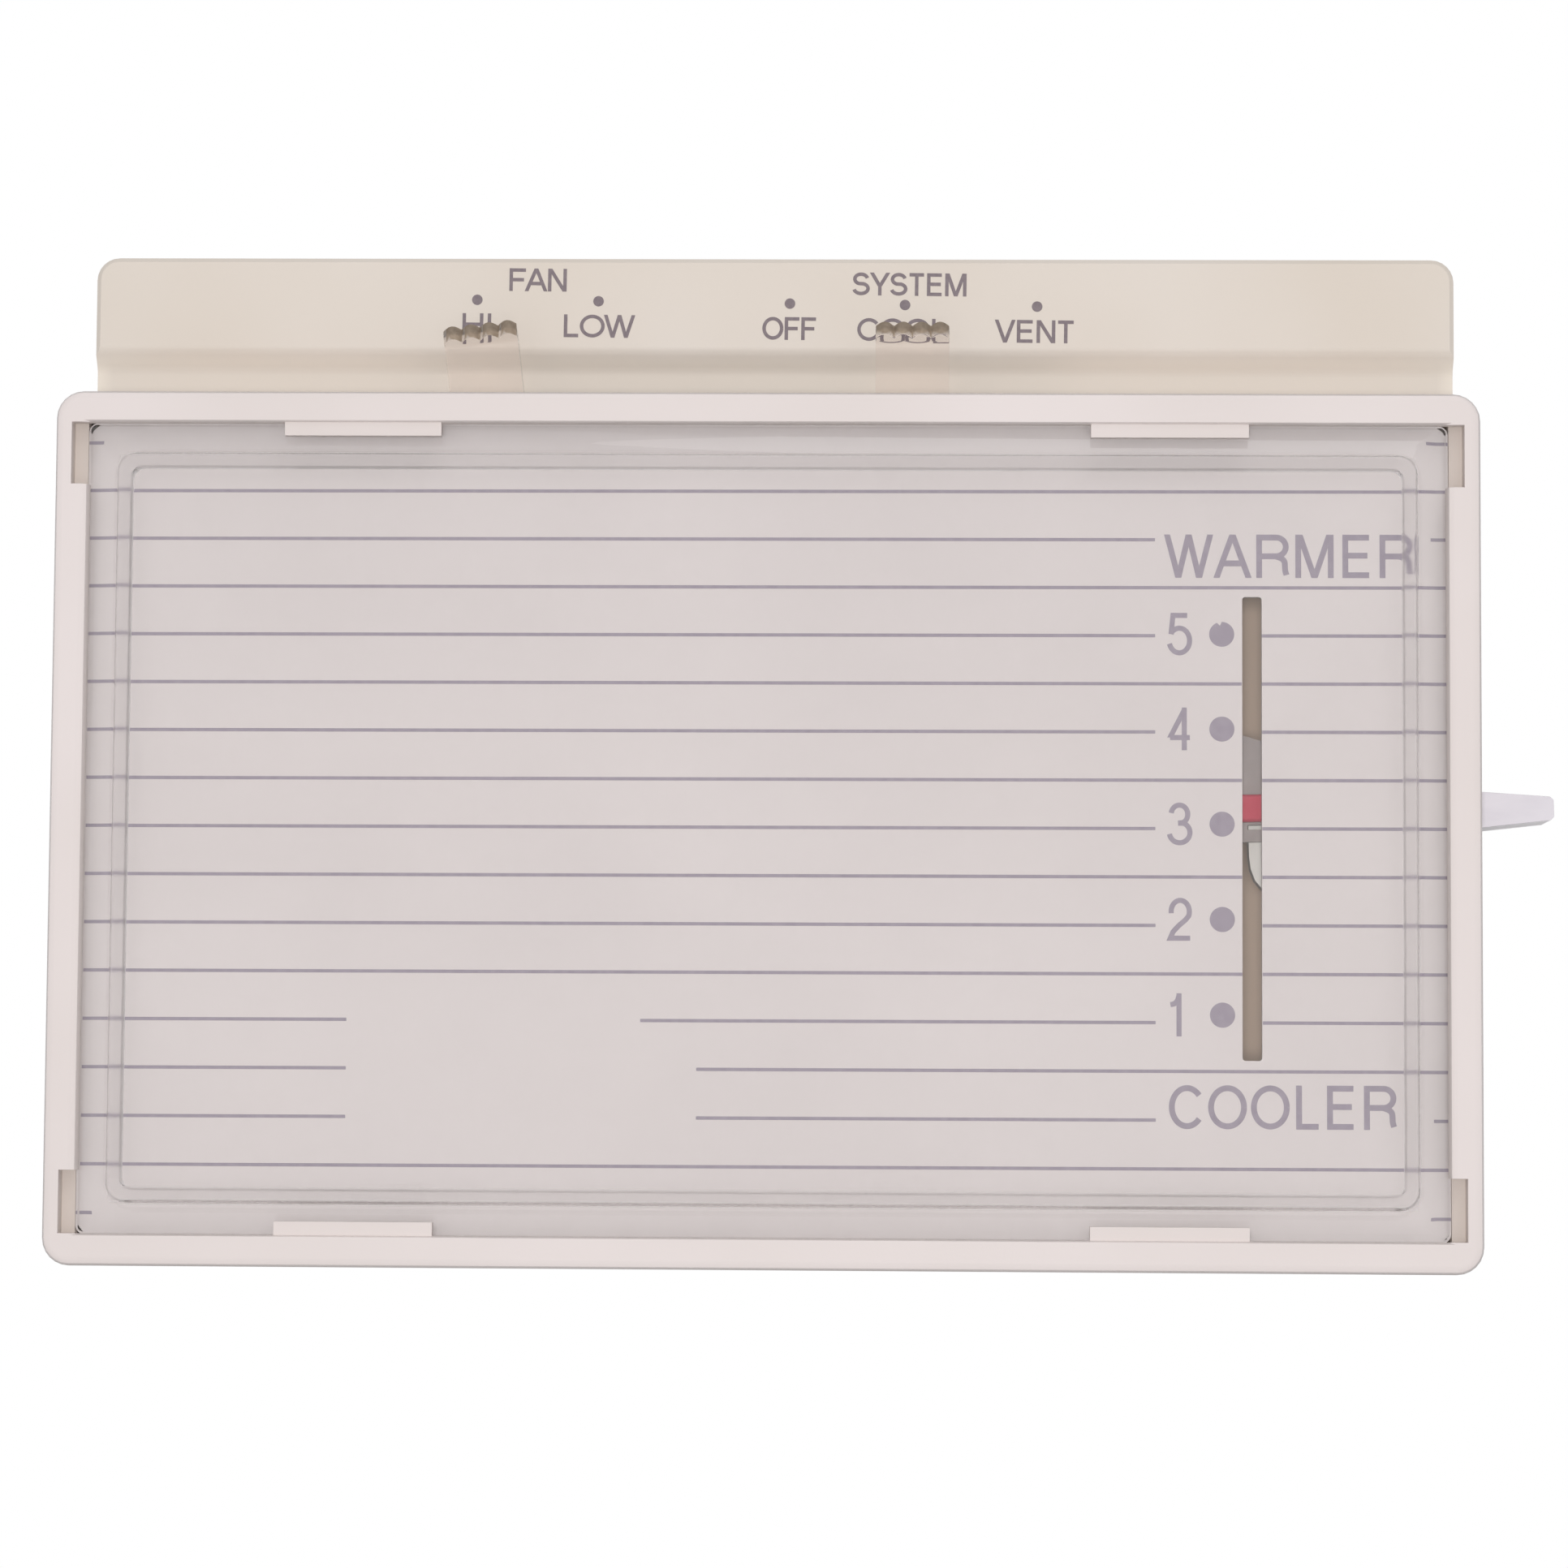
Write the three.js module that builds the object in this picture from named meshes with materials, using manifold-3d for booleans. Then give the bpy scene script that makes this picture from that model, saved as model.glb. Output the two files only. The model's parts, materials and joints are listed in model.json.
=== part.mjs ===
import * as THREE from "three";
import { mergeVertices } from "three/addons/utils/BufferGeometryUtils.js";
import Module from "manifold-3d";

const wasm = await Module();
wasm.setup();

// Wall thermostat with a bimetal coil switch, in millimetres.
// Everything is drawn as seen from the front: x to the right, y up, z out of the wall.
// The finished group is then stood up, so that +Z is up and the front faces -Y.

// Fits
const gap = 0.3; // between parts that rest on or in each other
const holeGap = 0.3; // on the radius, between a pin and its hole
const swingGap = 0.4; // beside a lever that slides past a wall

// Housing
const coverWidth = 120.6;
const coverHeight = 74;
const coverDepth = 18.2; // from the cover's rear edge to its front ring
const coverWall = 1.4;
const coverCorner = 2.3;
const coverEdge = 0.7; // rounding of the front edge
const draft = 0.2; // how much each side grows towards the open rear
const ringSide = 2.9; // width of the front ring at the sides
const ringTop = 2.7; // the same at the top and bottom
const ringThickness = 1.1;
const lipRound = 0.7; // rounding of the ring's inner edge
const trayDepth = 17.5; // from the wall to the tray's rim and the label face
const trayWall = 2;
const trayInset = 0.1; // how far the tray stands in from the cover on each side
const floorThickness = 2.5;

// Label strip along the top of the tray
const labelTop = 51.9; // above the middle of the cover
const valleyTop = 44; // where the label face ends
const valleyBottom = 41.6; // where the shelf behind the levers begins
const valleyDepth = 1.5;
const labelCorner = 2;
const stripSkin = 2; // wall thickness of the hollow strip
const stripRibs = 8;
const stripRib = 1.6;

// Window and faceplate
const windowThickness = 1.4;
const windowLap = 0.05; // how far the window's sides reach behind the ring
const windowEase = 0.1; // play between the window's ends and the opening
const windowCorner = 0.8;
const windowFlange = 0.95; // flat border outside the raised part
const windowRise = 2; // the raised part above the border
const windowSlope = 1.7; // width of the gentle slope
const windowStep = 0.2; // width of the steep edge above it
const windowWall = 1.1; // thickness of the plastic behind the steep edge
const tabStart = 27.5; // span of the window tabs from the middle
const tabEnd = 40.8;
const notchHeight = 5.3;
const notchDepth = 1.9; // from the front to the pads in the open corners
const padThickness = 1.2;
const faceplateThickness = 0.5;
const dialY = 0.35; // height of the middle mark and of the setpoint pivot
const slotX = 41.2;
const slotWidth = 1.63;
const slotLength = 39.2;

// Setpoint lever and its coil
const postX = -28;
const postRadius = 1.5;
const postBoss = 3.6;
const armRest = 1.4; // degrees above level
const armThickness = 1;
const armPlane = 26.3; // back of the arm, from the wall
const armEnd = 79;
const arborStep = 2.1; // radius of the arbor where the arm is staked on
const stakeX = 75.5; // the handle's stake through the arm
const stakeRadius = 1;
const handleReach = 95.6; // pivot to the handle's tip
const handleHalf = 1.55; // half the handle's height where it leaves the cover
const handleTip = 1.02; // half height at the tip
const setpointTravel = 14; // degrees each side of level
const coilTurns = 3.5;
const coilInner = 3.9;
const coilPitch = 1.65;
const coilStrip = 0.45;
const coilWidth = 3.6;

// Contact arm on the coil's outer end
const contactReach = 20; // pivot to the contact
const contactRadius = 1.5;
const contactOpening = 1.2;
const magnetReach = 26.2;
const bladeThickness = 0.6;
const bracketThickness = 0.8;
const bracketHalf = 2.6;
const bracketFoot = 7.6;
const bracketScrewRadius = 1.2;
const bracketScrewHead = 2.1;
const bracketScrewLength = 5;
const contactScrewRadius = 1.2;

// Switch levers
const leverThickness = 1.6;
const leverRelief = 0.9; // in front of the levers where they pass under the cover
const leverWidth = 6.5;
const leverTail = 4.6;
const leverPivotY = 7.3;
const fanPivotX = -21.3;
const systemPivotX = 12.4;
const fanRest = 6.8; // degrees, leaning to the left-hand position
const fanThrow = 14.6;
const systemThrow = 15.1;
const leverBend = 56; // degrees, how far the tip leans out of the wall
const leverHeight = 36.5; // pivot to the start of the bend
const leverTip = 0.85; // straight length beyond the bend
const bendRadius = 0.4;
const teeth = 4;
const toothDepth = 0.55;
const pivotShank = 1.5;
const rivetShank = 0.9;
const wiperThickness = 0.4;

// Switch board
const boardThickness = 1.6;
const boardHalfWidth = 37;
const boardTop = 31;
const boardBottom = -30;
const boardFromWall = 12.6;
const boardScrews = [
  [-33, 27],
  [33, 27],
  [-34, -25.5],
  [33.5, -10],
];
const boardBoss = 3.2;
const boardScrewRadius = 1.45;
const boardScrewHead = 2.9; // radius of the head
const boardScrewLength = 9;
const screwHeadHeight = 1.9;
const padRadius = 1.5;
const padShank = 0.8;
const padReach = 18; // pivot to the outer contacts
const commonReach = 7; // pivot to the common contact
const rivetReach = 12.5;
const terminals = 5;
const terminalPitch = 8.8;
const terminalX = -4; // the first terminal
const terminalY = -22.5;
const terminalScrewRadius = 1.5;
const terminalScrewHead = 3;
const terminalScrewLength = 6.4;
const resistorX = -33.6;
const resistorY = 13;
const resistorLead = 6.6; // from its middle to each lead's hole
const leadRadius = 0.35;

// Openings in the tray
const wiringLeft = 3;
const wiringRight = 29;
const wiringTop = -4.5;
const wiringBottom = -15;
const mountSpacing = 95.25; // between the two screw slots
const mountSlotWidth = 4.6;
const mountSlotLength = 8.6;

// Sizes that follow from the ones above
const coverHalfWidth = coverWidth / 2;
const coverHalfHeight = coverHeight / 2;
const coverRear = trayDepth + gap;
const front = coverRear + coverDepth;
const trayHalfWidth = coverHalfWidth - trayInset;
const trayBottom = trayInset - coverHalfHeight;
const openHalfWidth = coverHalfWidth - ringSide;
const openHalfHeight = coverHalfHeight - ringTop;
const windowHalfWidth = openHalfWidth + windowLap;
const windowHalfHeight = openHalfHeight - windowEase;
const cavityHalfWidth = coverHalfWidth - coverWall;
const cavityHalfHeight = coverHalfHeight - coverWall - 0.2;
const shelfZ = trayDepth - valleyDepth;
const windowFront = front - ringThickness - gap;
const windowBack = windowFront - windowThickness;
const faceplateFront = windowBack - gap;
const faceplateBack = faceplateFront - faceplateThickness;
const leverBack = trayDepth + swingGap + 0.2;
const leverFront = leverBack + leverThickness;
const boardFront = boardFromWall + boardThickness;
const boardPart = boardFront + gap; // back of what sits on the board
const armFront = armPlane + armThickness;
const handleFront = armPlane - gap;
const coilOuter = coilInner + coilPitch * coilTurns;
const coilBack = armPlane - 1.1 - coilWidth;
const reliefZ = leverFront + leverRelief;
const arborHole = postRadius + holeGap;
const postEnd = armFront + gap + 3;
const contactFace = bladeThickness / 2 + gap + 0.6;
const bracketX = contactFace + 7.1; // pivot to the brackets' uprights
const sides = [-1, 1];
const corners = sides.flatMap((right) => sides.map((up) => [right, up]));

const turnUp = new THREE.Matrix4().makeRotationX(Math.PI / 2);
const profileAlongX = new THREE.Matrix4().set(0, 0, 1, 0, 1, 0, 0, 0, 0, 1, 0, 0, 0, 0, 0, 1);
const profileAlongY = new THREE.Matrix4().set(0, 1, 0, 0, 0, 0, 1, 0, 1, 0, 0, 0, 0, 0, 0, 1);

// A closed three.js geometry as a solid that can be joined and cut.
function solid(geometry) {
  geometry.deleteAttribute("normal");
  geometry.deleteAttribute("uv");
  const merged = mergeVertices(geometry, 1e-4);
  const mesh = new wasm.Mesh({
    numProp: 3,
    vertProperties: merged.getAttribute("position").array,
    triVerts: new Uint32Array(merged.index.array),
  });
  return new wasm.Manifold(mesh);
}

function join(solids) {
  return solids.reduce((whole, next) => whole.add(next));
}

function cut(whole, tools) {
  return tools.reduce((rest, tool) => rest.subtract(tool), whole);
}

function block(x0, x1, y0, y1, z0, z1) {
  const geometry = new THREE.BoxGeometry(x1 - x0, y1 - y0, z1 - z0);
  return solid(geometry.translate((x0 + x1) / 2, (y0 + y1) / 2, (z0 + z1) / 2));
}

function disc(x, y, radius, z0, z1, sides = 16) {
  const geometry = new THREE.CylinderGeometry(radius, radius, z1 - z0, sides);
  return solid(geometry.applyMatrix4(turnUp).translate(x, y, (z0 + z1) / 2));
}

// A solid of revolution. The profile is [radius, z] pairs from the back to the front.
function turnedGeometry(profile, sides) {
  const points = profile.map(([radius, z]) => new THREE.Vector2(radius, z));
  return new THREE.LatheGeometry(points, sides).applyMatrix4(turnUp);
}

function turned(profile, x, y, sides = 16) {
  return solid(turnedGeometry(profile, sides).translate(x, y, 0));
}

// The same with its axis along x, at height y and z from the wall.
function turnedAlongX(profile, y, z, sides = 16) {
  return solid(turnedGeometry(profile, sides).rotateY(Math.PI / 2).translate(0, y, z));
}

function shapeOf(points) {
  return new THREE.Shape(points.map(([x, y]) => new THREE.Vector2(x, y)));
}

function roundedRect(x0, x1, y0, y1, radius) {
  const shape = new THREE.Shape();
  shape.moveTo(x0 + radius, y0);
  shape.absarc(x1 - radius, y0 + radius, radius, -Math.PI / 2, 0);
  shape.absarc(x1 - radius, y1 - radius, radius, 0, Math.PI / 2);
  shape.absarc(x0 + radius, y1 - radius, radius, Math.PI / 2, Math.PI);
  shape.absarc(x0 + radius, y0 + radius, radius, Math.PI, 1.5 * Math.PI);
  return shape;
}

function slab(shape, z0, z1, curveSegments = 6) {
  const options = { depth: z1 - z0, bevelEnabled: false, curveSegments };
  return solid(new THREE.ExtrudeGeometry(shape, options).translate(0, 0, z0));
}

// A profile of [y, z] points carried along x.
function alongX(points, x0, x1) {
  const options = { depth: x1 - x0, bevelEnabled: false };
  const geometry = new THREE.ExtrudeGeometry(shapeOf(points), options);
  return solid(geometry.translate(0, 0, x0).applyMatrix4(profileAlongX));
}

// A profile of [x, z] points carried along y.
function alongY(points, y0, y1) {
  const options = { depth: y1 - y0, bevelEnabled: false };
  const swapped = points.map(([x, z]) => [z, x]);
  const geometry = new THREE.ExtrudeGeometry(shapeOf(swapped), options);
  return solid(geometry.translate(0, 0, y0).applyMatrix4(profileAlongY));
}

// Skins a solid over outlines that have the same number of points, from the back forwards.
function loft(sections, steps = 3) {
  const rings = sections.map(({ z, shape }) => {
    const outline = shape.getPoints(steps);
    if (outline[0].distanceTo(outline.at(-1)) < 1e-6) outline.pop();
    return outline.map((point) => new THREE.Vector3(point.x, point.y, z));
  });
  const count = rings[0].length;
  const faces = [];
  for (let ring = 0; ring + 1 < rings.length; ring++) {
    for (let i = 0; i < count; i++) {
      const a = ring * count + i;
      const b = ring * count + ((i + 1) % count);
      faces.push(a, b, b + count, a, b + count, a + count);
    }
  }
  const flat = rings[0].map((point) => new THREE.Vector2(point.x, point.y));
  const last = (rings.length - 1) * count;
  for (const [a, b, c] of THREE.ShapeUtils.triangulateShape(flat, [])) {
    faces.push(a, c, b, last + a, last + b, last + c);
  }
  const geometry = new THREE.BufferGeometry().setFromPoints(rings.flat());
  geometry.setIndex(faces);
  return solid(geometry);
}

// Adds a finished solid to a group as a named mesh with a material of its own.
function piece(group, name, made, color, roughness, metalness = 0) {
  const { vertProperties, triVerts } = made.getMesh();
  const geometry = new THREE.BufferGeometry();
  geometry.setAttribute("position", new THREE.BufferAttribute(vertProperties, 3));
  geometry.setIndex(new THREE.BufferAttribute(triVerts, 1));
  geometry.computeVertexNormals();
  const material = new THREE.MeshStandardMaterial({ color, roughness, metalness });
  material.flatShading = true;
  const mesh = new THREE.Mesh(geometry, material);
  mesh.name = name;
  group.add(mesh);
}

const brass = [0xc9a65a, 0.35, 1];
const steel = [0xb9babb, 0.4, 1];
const nickel = [0xc8c8c4, 0.3, 1];
const bronze = [0xb98a5a, 0.35, 1];

// Tray

function trayOutline(inset) {
  const left = inset - trayHalfWidth;
  const radius = labelCorner - inset;
  return roundedRect(left, -left, trayBottom + inset, labelTop - inset, radius);
}

// The soft step from the label face down to the shelf that the levers pass over.
function valleyCut() {
  const steps = 6;
  const curve = Array.from({ length: steps + 1 }, (_, i) => [
    valleyBottom + ((valleyTop - valleyBottom) * i) / steps,
    shelfZ + (valleyDepth * (1 - Math.cos((Math.PI * i) / steps))) / 2,
  ]);
  const low = coverHalfHeight + gap;
  return alongX(
    [[low, shelfZ], ...curve, [valleyTop, front], [low, front]],
    -coverWidth,
    coverWidth,
  );
}

// The label strip is hollow and open at the rear, with ribs across it.
function stripHollows() {
  const inner = trayHalfWidth - trayWall;
  const bay = (2 * inner) / (stripRibs + 1);
  const low = cavityHalfHeight;
  const profile = [
    [low, -1],
    [labelTop - stripSkin, -1],
    [labelTop - stripSkin, trayDepth - stripSkin],
    [valleyTop + 0.6, trayDepth - stripSkin],
    [valleyBottom + 0.4, shelfZ - stripSkin],
    [low, shelfZ - stripSkin],
  ];
  return Array.from({ length: stripRibs + 1 }, (_, i) => {
    const left = -inner + bay * i;
    return alongX(profile, left + (i ? stripRib / 2 : 0), left + bay - (i < stripRibs ? stripRib / 2 : 0));
  });
}

function wiringOutline() {
  return roundedRect(wiringLeft, wiringRight, wiringBottom, wiringTop, 1.5);
}

function mountSlot(x) {
  const half = mountSlotWidth / 2;
  const reach = mountSlotLength / 2;
  const shape = roundedRect(x - half, x + half, dialY - reach, dialY + reach, half - 0.01);
  return slab(shape, -1, trayDepth, 5);
}

function basePlate() {
  const edge = 0.4;
  const outer = loft([
    { z: 0, shape: trayOutline(-draft) },
    { z: trayDepth - edge, shape: trayOutline(0) },
    { z: trayDepth, shape: trayOutline(edge) },
  ]);
  const inner = trayHalfWidth - trayWall;
  const trayTop = cavityHalfHeight - trayWall;
  const tray = slab(
    roundedRect(-inner, inner, trayBottom + trayWall, trayTop, 1),
    floorThickness,
    front,
  );
  const shelf = block(-inner, inner, trayTop - 1, coverHalfHeight + 2 * gap, shelfZ, front);
  const bossTop = boardFromWall - gap;
  const bosses = boardScrews.map(([x, y]) => disc(x, y, boardBoss, floorThickness - 1, bossTop));
  const post = disc(postX, dialY, postBoss, floorThickness - 1, trayDepth - 2 * gap + 0.1);
  const screwHoles = boardScrews.map(([x, y]) =>
    disc(x, y, boardScrewRadius + holeGap, floorThickness + 1.5, front, 12),
  );
  const postHole = disc(postX, dialY, postRadius + holeGap, floorThickness + 6, front, 16);
  const wiring = slab(wiringOutline(), -1, trayDepth, 3);
  const hollow = cut(outer, [tray, shelf, valleyCut(), ...stripHollows(), wiring]);
  return cut(join([hollow, ...bosses, post]), [
    ...screwHoles,
    postHole,
    mountSlot(-mountSpacing / 2),
    mountSlot(mountSpacing / 2),
  ]);
}

// Switch board

function switchBoard() {
  const outline = roundedRect(-boardHalfWidth, boardHalfWidth, boardBottom, boardTop, 2);
  const board = slab(outline, boardFromWall, boardFront);
  const hole = (x, y, radius, sides = 12) => disc(x, y, radius, 0, trayDepth, sides);
  const wiring = slab(wiringOutline(), 0, trayDepth, 3);
  return cut(board, [
    wiring,
    hole(postX, dialY, postBoss + gap, 20),
    hole(fanPivotX, leverPivotY, pivotShank + holeGap, 16),
    hole(systemPivotX, leverPivotY, pivotShank + holeGap, 16),
    ...boardScrews.map(([x, y]) => hole(x, y, boardScrewRadius + holeGap)),
    ...padPlaces().map(({ x, y }) => hole(x, y, padShank + holeGap, 10)),
    ...terminalPlaces().map(([x, y]) => hole(x, y, terminalScrewRadius + holeGap)),
    ...bracketScrewPlaces().map(([x, y]) => hole(x, y, bracketScrewRadius + holeGap)),
    ...[-1, 1].map((end) => hole(resistorX, resistorY + end * resistorLead, leadRadius + holeGap, 8)),
  ]);
}

// A cheese-head screw with a slotted head, standing on z.
function slottedScrew(x, y, z, headRadius, shank, length) {
  const headHeight = Math.min(screwHeadHeight, headRadius * 0.67);
  const top = z + headHeight;
  const profile = [
    [0, z - length],
    [shank * 0.6, z - length],
    [shank, z - length + shank * 0.6],
    [shank, z],
    [headRadius, z],
    [headRadius, top - 0.4],
    [headRadius - 0.4, top],
    [0, top],
  ];
  const slotDepth = headHeight * 0.45;
  const slot = block(x - headRadius, x + headRadius, y - 0.35, y + 0.35, top - slotDepth, top + 1);
  return turned(profile, x, y, 14).subtract(slot);
}

function leverDirection(degrees, reach) {
  const angle = THREE.MathUtils.degToRad(degrees);
  return [-reach * Math.sin(angle), reach * Math.cos(angle)];
}

function padPlaces() {
  const at = (name, pivotX, degrees, reach) => {
    const [dx, dy] = leverDirection(degrees, reach);
    return { name, x: pivotX + dx, y: leverPivotY + dy };
  };
  return [
    at("fan_contact_high", fanPivotX, fanRest, padReach),
    at("fan_contact_low", fanPivotX, fanRest - fanThrow, padReach),
    at("fan_contact_common", fanPivotX, fanRest - fanThrow / 2, commonReach),
    at("system_contact_cool", systemPivotX, 0, padReach),
    at("system_contact_vent", systemPivotX, -systemThrow, padReach),
    at("system_contact_common", systemPivotX, 0, commonReach),
  ];
}

// A rivet through the board, with its head towards the levers.
function contactPad(x, y) {
  return turned(
    [
      [0, boardFromWall - 0.7],
      [padShank, boardFromWall - 0.7],
      [padShank, boardPart],
      [padRadius, boardPart],
      [padRadius, boardPart + 0.4],
      [padRadius - 0.3, boardPart + 0.6],
      [0, boardPart + 0.6],
    ],
    x,
    y,
    14,
  );
}

// The shouldered rivet that a switch lever turns on.
function leverPivot(x) {
  const flange = 2.6;
  return turned(
    [
      [0, boardFromWall - 1],
      [flange, boardFromWall - 1],
      [flange, boardFromWall - gap],
      [pivotShank, boardFromWall - gap],
      [pivotShank, boardPart],
      [flange, boardPart],
      [flange, leverBack - gap],
      [pivotShank, leverBack - gap],
      [pivotShank, leverFront + gap],
      [flange + 0.4, leverFront + gap],
      [flange + 0.2, leverFront + gap + 0.6],
      [0, leverFront + gap + 0.8],
    ],
    x,
    leverPivotY,
  );
}

function terminalPlaces() {
  return Array.from({ length: terminals }, (_, i) => [terminalX + i * terminalPitch, terminalY]);
}

// A brass plate with its far end folded up, so that a wire stays under the screw head.
function terminalPlate(x, y) {
  const half = terminalPitch / 2 - 1;
  const thick = 0.8;
  const profile = [
    [y - 4.4, boardPart + 2],
    [y - 4.4, boardPart],
    [y + 4, boardPart],
    [y + 4, boardPart + thick],
    [y - 4.4 + thick, boardPart + thick],
    [y - 4.4 + thick, boardPart + 2],
  ];
  const hole = disc(x, y, terminalScrewRadius + holeGap, 0, front, 12);
  return alongX(profile, x - half, x + half).subtract(hole);
}

function resistor() {
  const z = boardFront + 2.8;
  const bend = 1;
  const body = new THREE.LatheGeometry(
    [
      [0, -4.6],
      [1.2, -4.6],
      [1.6, -4],
      [1.6, 4],
      [1.2, 4.6],
      [0, 4.6],
    ].map(([radius, y]) => new THREE.Vector2(radius, y)),
    14,
  );
  const route = new THREE.CurvePath();
  const low = boardFromWall - 0.8;
  const corner = (end) => [
    new THREE.Vector3(0, end * (resistorLead - bend), z),
    new THREE.Vector3(0, end * resistorLead, z),
    new THREE.Vector3(0, end * resistorLead, z - bend),
  ];
  const [a, b, c] = corner(-1);
  const [d, e, f] = corner(1);
  route.add(new THREE.LineCurve3(new THREE.Vector3(0, -resistorLead, low), c));
  route.add(new THREE.QuadraticBezierCurve3(c, b, a));
  route.add(new THREE.LineCurve3(a, d));
  route.add(new THREE.QuadraticBezierCurve3(d, e, f));
  route.add(new THREE.LineCurve3(f, new THREE.Vector3(0, resistorLead, low)));
  const section = new THREE.Shape().absarc(0, 0, leadRadius, 0, 2 * Math.PI);
  const options = { steps: 40, curveSegments: 4, bevelEnabled: false, extrudePath: route };
  const lead = new THREE.ExtrudeGeometry(section, options);
  return join([
    solid(body.translate(resistorX, resistorY, z)),
    solid(lead.translate(resistorX, resistorY, 0)),
  ]);
}

// Cover

function coverOutline(inset) {
  const x = coverHalfWidth - inset;
  const y = coverHalfHeight - inset;
  return roundedRect(-x, x, -y, y, coverCorner - inset);
}

function openingOutline(grow) {
  const x = openHalfWidth + grow;
  const y = openHalfHeight + grow / 4;
  return roundedRect(-x, x, -y, y, 0.3);
}

function mirrored(a, b, side) {
  return side > 0 ? [a, b] : [-b, -a];
}

// Open corners beside the window, where the mould shuts off.
function cornerNotches() {
  return corners.map(([right, up]) => {
    const [x0, x1] = mirrored(openHalfWidth - 1, cavityHalfWidth, right);
    const [y0, y1] = mirrored(openHalfHeight - notchHeight, openHalfHeight, up);
    return block(x0, x1, y0, y1, windowBack, front + 1);
  });
}

// Pads across the open corners that keep the window from sliding sideways.
function cornerPads() {
  const face = front - notchDepth;
  return corners.map(([right, up]) => {
    const [x0, x1] = mirrored(windowHalfWidth + gap, cavityHalfWidth + 0.3, right);
    const [y0, y1] = mirrored(openHalfHeight - notchHeight - 0.5, cavityHalfHeight + 0.1, up);
    return block(x0, x1, y0, y1, face - padThickness, face);
  });
}

// Tabs of the ring that reach over the window's border.
function windowTabs() {
  const reach = 1.1;
  const back = windowFront + gap;
  return corners.map(([right, up]) => {
    const [x0, x1] = mirrored(tabStart, tabEnd, right);
    const [y0, y1] = mirrored(openHalfHeight - reach, openHalfHeight + 0.6, up);
    return block(x0, x1, y0, y1, back, front - 0.3);
  });
}

// Ledges inside the cover that hold the faceplate up against the window.
function faceplateLedges() {
  const back = faceplateBack - gap;
  const depth = 2.4;
  return corners.flatMap(([right, up]) => {
    const [x0, x1] = mirrored(openHalfWidth - 2.4, cavityHalfWidth + 0.5, right);
    const [y0, y1] = mirrored(25.5, 28.5, up);
    const [x2, x3] = mirrored(44, 47, right);
    const [y2, y3] = mirrored(openHalfHeight - 2.4, cavityHalfHeight + 0.5, up);
    return [
      block(x0, x1, y0, y1, back - depth, back),
      block(x2, x3, y2, y3, back - depth, back),
    ];
  });
}

// Tongues that slide down inside the tray's side walls.
function coverTongues() {
  const outer = trayHalfWidth - trayWall - gap;
  const thick = 1.4;
  const wall = cavityHalfWidth + 0.5;
  const start = coverRear + gap;
  return corners.map(([right, up]) => {
    const profile = [
      [outer - thick, 13],
      [outer, 13],
      [outer, start],
      [wall, start],
      [wall, start + 5],
      [outer - thick, start + 3],
    ].map(([x, z]) => [right * x, z]);
    const [y0, y1] = mirrored(27.2, 31.2, up);
    return alongY(profile, y0, y1);
  });
}

function ventSlots() {
  const count = 8;
  const pitch = 11.5;
  const width = 8;
  return Array.from({ length: count }, (_, i) => {
    const x = (i - (count - 1) / 2) * pitch;
    const low = front - 9.4;
    return block(x - width / 2, x + width / 2, -coverHeight, coverHeight, low, low + 2.2);
  });
}

function coverFrame() {
  const shell = loft([
    { z: coverRear, shape: coverOutline(-draft) },
    { z: front - coverEdge, shape: coverOutline(0) },
    { z: front - coverEdge * 0.3, shape: coverOutline(coverEdge * 0.3) },
    { z: front, shape: coverOutline(coverEdge) },
  ]);
  const x = cavityHalfWidth;
  const y = cavityHalfHeight;
  const cavity = slab(roundedRect(-x, x, -y, y, 1), coverRear - 1, front - ringThickness);
  const opening = loft([
    { z: front - ringThickness - 1, shape: openingOutline(0) },
    { z: front - lipRound, shape: openingOutline(0) },
    { z: front - lipRound * 0.3, shape: openingOutline(lipRound * 0.3) },
    { z: front + 0.01, shape: openingOutline(lipRound) },
  ]);
  // The top wall reaches down to the shelf, except over the sweep of the two levers.
  const skirtX = trayHalfWidth - trayWall - gap;
  const skirt = block(-skirtX, skirtX, y - 0.05, coverHalfHeight, shelfZ + gap, coverRear + 1);
  const [reliefLeft, reliefRight] = leverSweep(y + 1);
  const relief = block(reliefLeft, reliefRight, y - 1, coverHeight, 0, reliefZ);
  const [handleLow, handleHigh] = handleSweep();
  const handleNotch = block(x - 1, coverWidth, handleLow, handleHigh, 0, handleFront + swingGap + 0.2);
  const ring = cut(join([shell, skirt]), [cavity, opening, ...cornerNotches(), relief, handleNotch]);
  const inside = [...windowTabs(), ...cornerPads(), ...faceplateLedges(), ...coverTongues()];
  const whole = join([ring, ...inside]);
  return cut(whole, ventSlots());
}

// How far the levers reach to each side at a height above the middle of the cover.
function leverSweep(height) {
  const rise = height - leverPivotY;
  const half = leverWidth / 2 + 2;
  const lean = (degrees) => rise * Math.tan(THREE.MathUtils.degToRad(degrees));
  return [fanPivotX - lean(fanRest) - half, systemPivotX + lean(systemThrow) + half];
}

// The heights between which the handle moves where it passes the cover's side.
function handleSweep() {
  const reach = coverHalfWidth - postX;
  const travel = reach * Math.tan(THREE.MathUtils.degToRad(setpointTravel));
  return [dialY - travel - handleHalf - 1.2, dialY + travel + handleHalf + 1.2];
}

function windowOutline(inset, radius) {
  const x = windowHalfWidth - inset;
  const y = windowHalfHeight - inset;
  return roundedRect(-x, x, -y, y, radius);
}

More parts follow.
